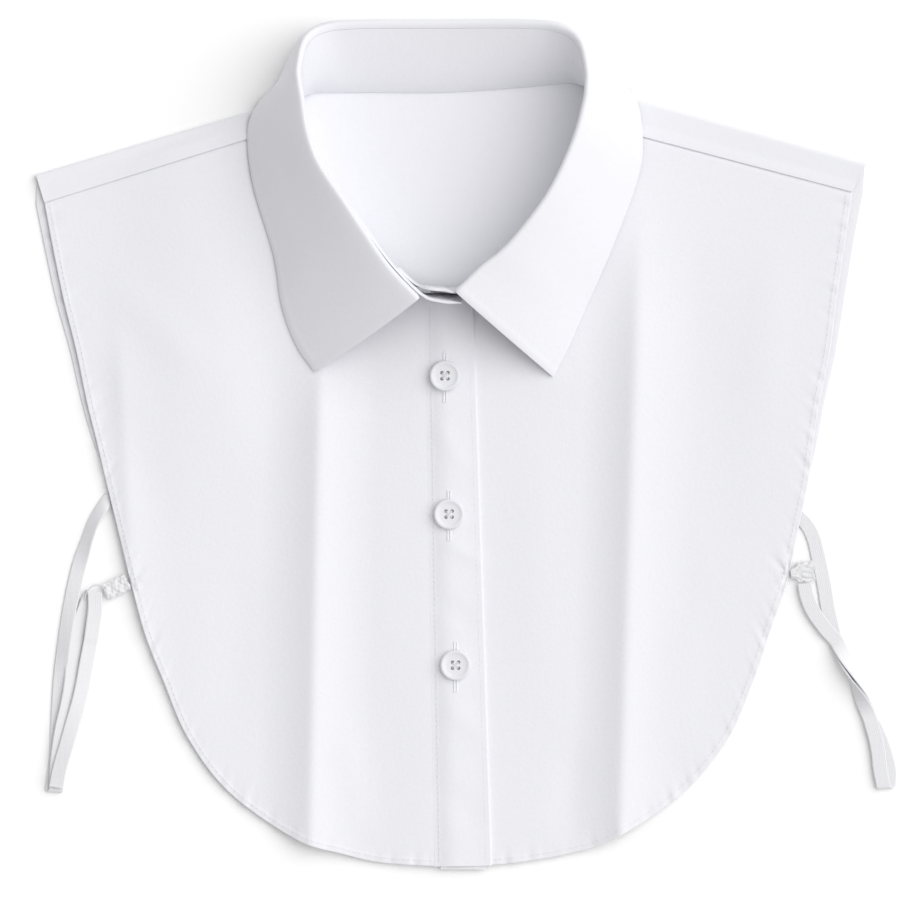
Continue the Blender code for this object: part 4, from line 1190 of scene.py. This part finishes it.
def tape(side, stretches):
    """An elastic arm loop: a flat ribbed tape that follows its rows."""
    line = tape_line(stretches)
    across, tilt = np.radians(line[:, 3]), np.radians(line[:, 4])
    wide = np.stack([np.cos(across) * np.cos(tilt), np.sin(across) * np.cos(tilt), np.sin(tilt)], axis=1)
    lowest = TAPE / 2 * np.abs(np.cos(tilt)) + TAPE_WIDTH / 2 * np.abs(np.sin(tilt)) + TAPE_LOWEST
    line[:, 2] = np.maximum(line[:, 2], lowest)
    places = even(TAPE_RIBS * TAPE_RIB_STEPS) - 0.5
    grid = line[:, None, :3] + wide[:, None] * TAPE_WIDTH * places[None, :, None]
    ribs = TAPE_RIB_HEIGHT * np.abs(np.sin(math.pi * TAPE_RIBS * (places + 0.5)))
    edge = np.clip((0.5 - np.abs(places)) * TAPE_WIDTH / TAPE_EDGE, TAPE_EDGE_LEAST, 1.0)
    half = np.broadcast_to((TAPE * TAPE_CORE + ribs) * edge, grid.shape[:2])
    along = lengths_along(line[:, :3])
    tail = np.zeros(len(line))
    if side == "left":
        start = along[-(len(stretches[-1]) - 1) * TAPE_STEPS - 1]
        tail = TAIL_THICKNESS * (along >= start) * (1 - ease((along - start - TAIL_LENGTH) / TAIL_STEP))
    made = cloth(f"elastic_{side}", grid, half + tail[:, None], half, [f"strap_{side}"], ELASTIC, "elastic")


def crinkle(along, across):
    """The small uneven folds of gathered cloth at these places, in mm, along and across a tab."""
    return sum(
        height * np.sin(TURN * (along * by_length + across * by_width) + phase)
        for by_length, by_width, height, phase in CRINKLES
    )


def tab(name, start, end, widths, thickness, pleat, crumpled):
    """A gathered tab: a short band with pleats along its length, crumpled all over."""
    start, end = np.array(start), np.array(end)
    length = np.linalg.norm(end - start)
    forward = (end - start) / length
    aside = np.array([-forward[1], forward[0]])
    shares, places = even(TAB_ROWS), even(TAB_COLUMNS) - 0.5
    width = np.interp(shares, even(len(widths) - 1), widths)
    width *= 1 + TAB_WAVE * np.sin(TURN * shares * length / TAB_WAVE_LENGTH + TAB_WAVE_PHASE)
    level = (start + shares[:, None] * (end - start))[:, None] + aside * (width[:, None] * places)[..., None]
    along, across = np.meshgrid(shares * length, places, indexing="ij")
    crown = TAB_CROWN * np.sqrt(np.maximum(0.0, 1 - (2 * across) ** 2))
    pleats = pleat * np.sin(TURN * TAB_PLEATS * across + TAB_PLEAT_SWAY * np.sin(along))
    height = TAB_LEVEL + crown + crumpled * crinkle(along, across * width[:, None]) + pleats
    grid = np.concatenate([level, height[..., None]], axis=-1)
    half = thickness / 2 * TAB_CORE * np.sqrt(np.maximum(1 - (2 * places) ** 2, ROUND_LEAST))
    half = np.tile(half, len(grid))
    shapes = [walled(grid.reshape(-1, 3), grid_faces(*grid.shape[:2]), half, half)]
    if name in TAB_RINGS:
        shapes.append(tube(curve_through(TAB_RINGS[name]), RING_RADIUS))
    piece(f"gathered_{name}", *together(shapes), [name], ELASTIC, "elastic")


def camera():
    data = bpy.data.cameras.new("camera")
    data.sensor_width = SENSOR
    data.lens = SENSOR * CAMERA_HEIGHT / VIEW_SPAN
    data.clip_start, data.clip_end = CAMERA_CLIP
    made = linked("camera", data)
    made.location = (VIEW_MIDDLE[0] * MM, VIEW_MIDDLE[1] * MM, CAMERA_HEIGHT * MM)
    bpy.context.scene.camera = made


def studio():
    """A plain white floor, an even sky and one wide soft light from the upper right."""
    corners = [(x * FLOOR_REACH, y * FLOOR_REACH, 0) for x, y in ((-1, -1), (1, -1), (1, 1), (-1, 1))]
    floor = bare("floor", corners, [(0, 1, 2, 3)])
    floor.data.materials.append(shader_of("floor_white", FLOOR_COLOUR, FLOOR_ROUGHNESS)[0])
    world = bpy.data.worlds.new("sky")
    world.use_nodes = True
    feed(world.node_tree.nodes["Background"], {"Color": (1.0, 1.0, 1.0, 1.0), "Strength": SKY})
    bpy.context.scene.world = world
    data = bpy.data.lights.new("key", "SUN")
    data.energy = KEY_LIGHT
    data.angle = KEY_WIDTH
    linked("key", data).rotation_euler = Vector(KEY_FROM).to_track_quat("Z", "Y").to_euler()
    bpy.context.scene.view_settings.view_transform = "Standard"


def main():
    camera()
    tape("left", LEFT_TAPE)
    down = RIGHT_TAPE_BACK + strand(-1) + RIGHT_TAPE_UPPER
    up = RIGHT_TAPE_LOWER + strand(1)[::-1] + RIGHT_TAPE_FRONT
    tape("right", (down, up))
    for name, row in TABS.items():
        tab(name, *row)
    back_panel()
    for side in SHOULDERS:
        front_panel(side)
    placket()
    collar_stand()
    collar_leaf()
    buttons()
    studio()
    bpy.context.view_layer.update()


main()
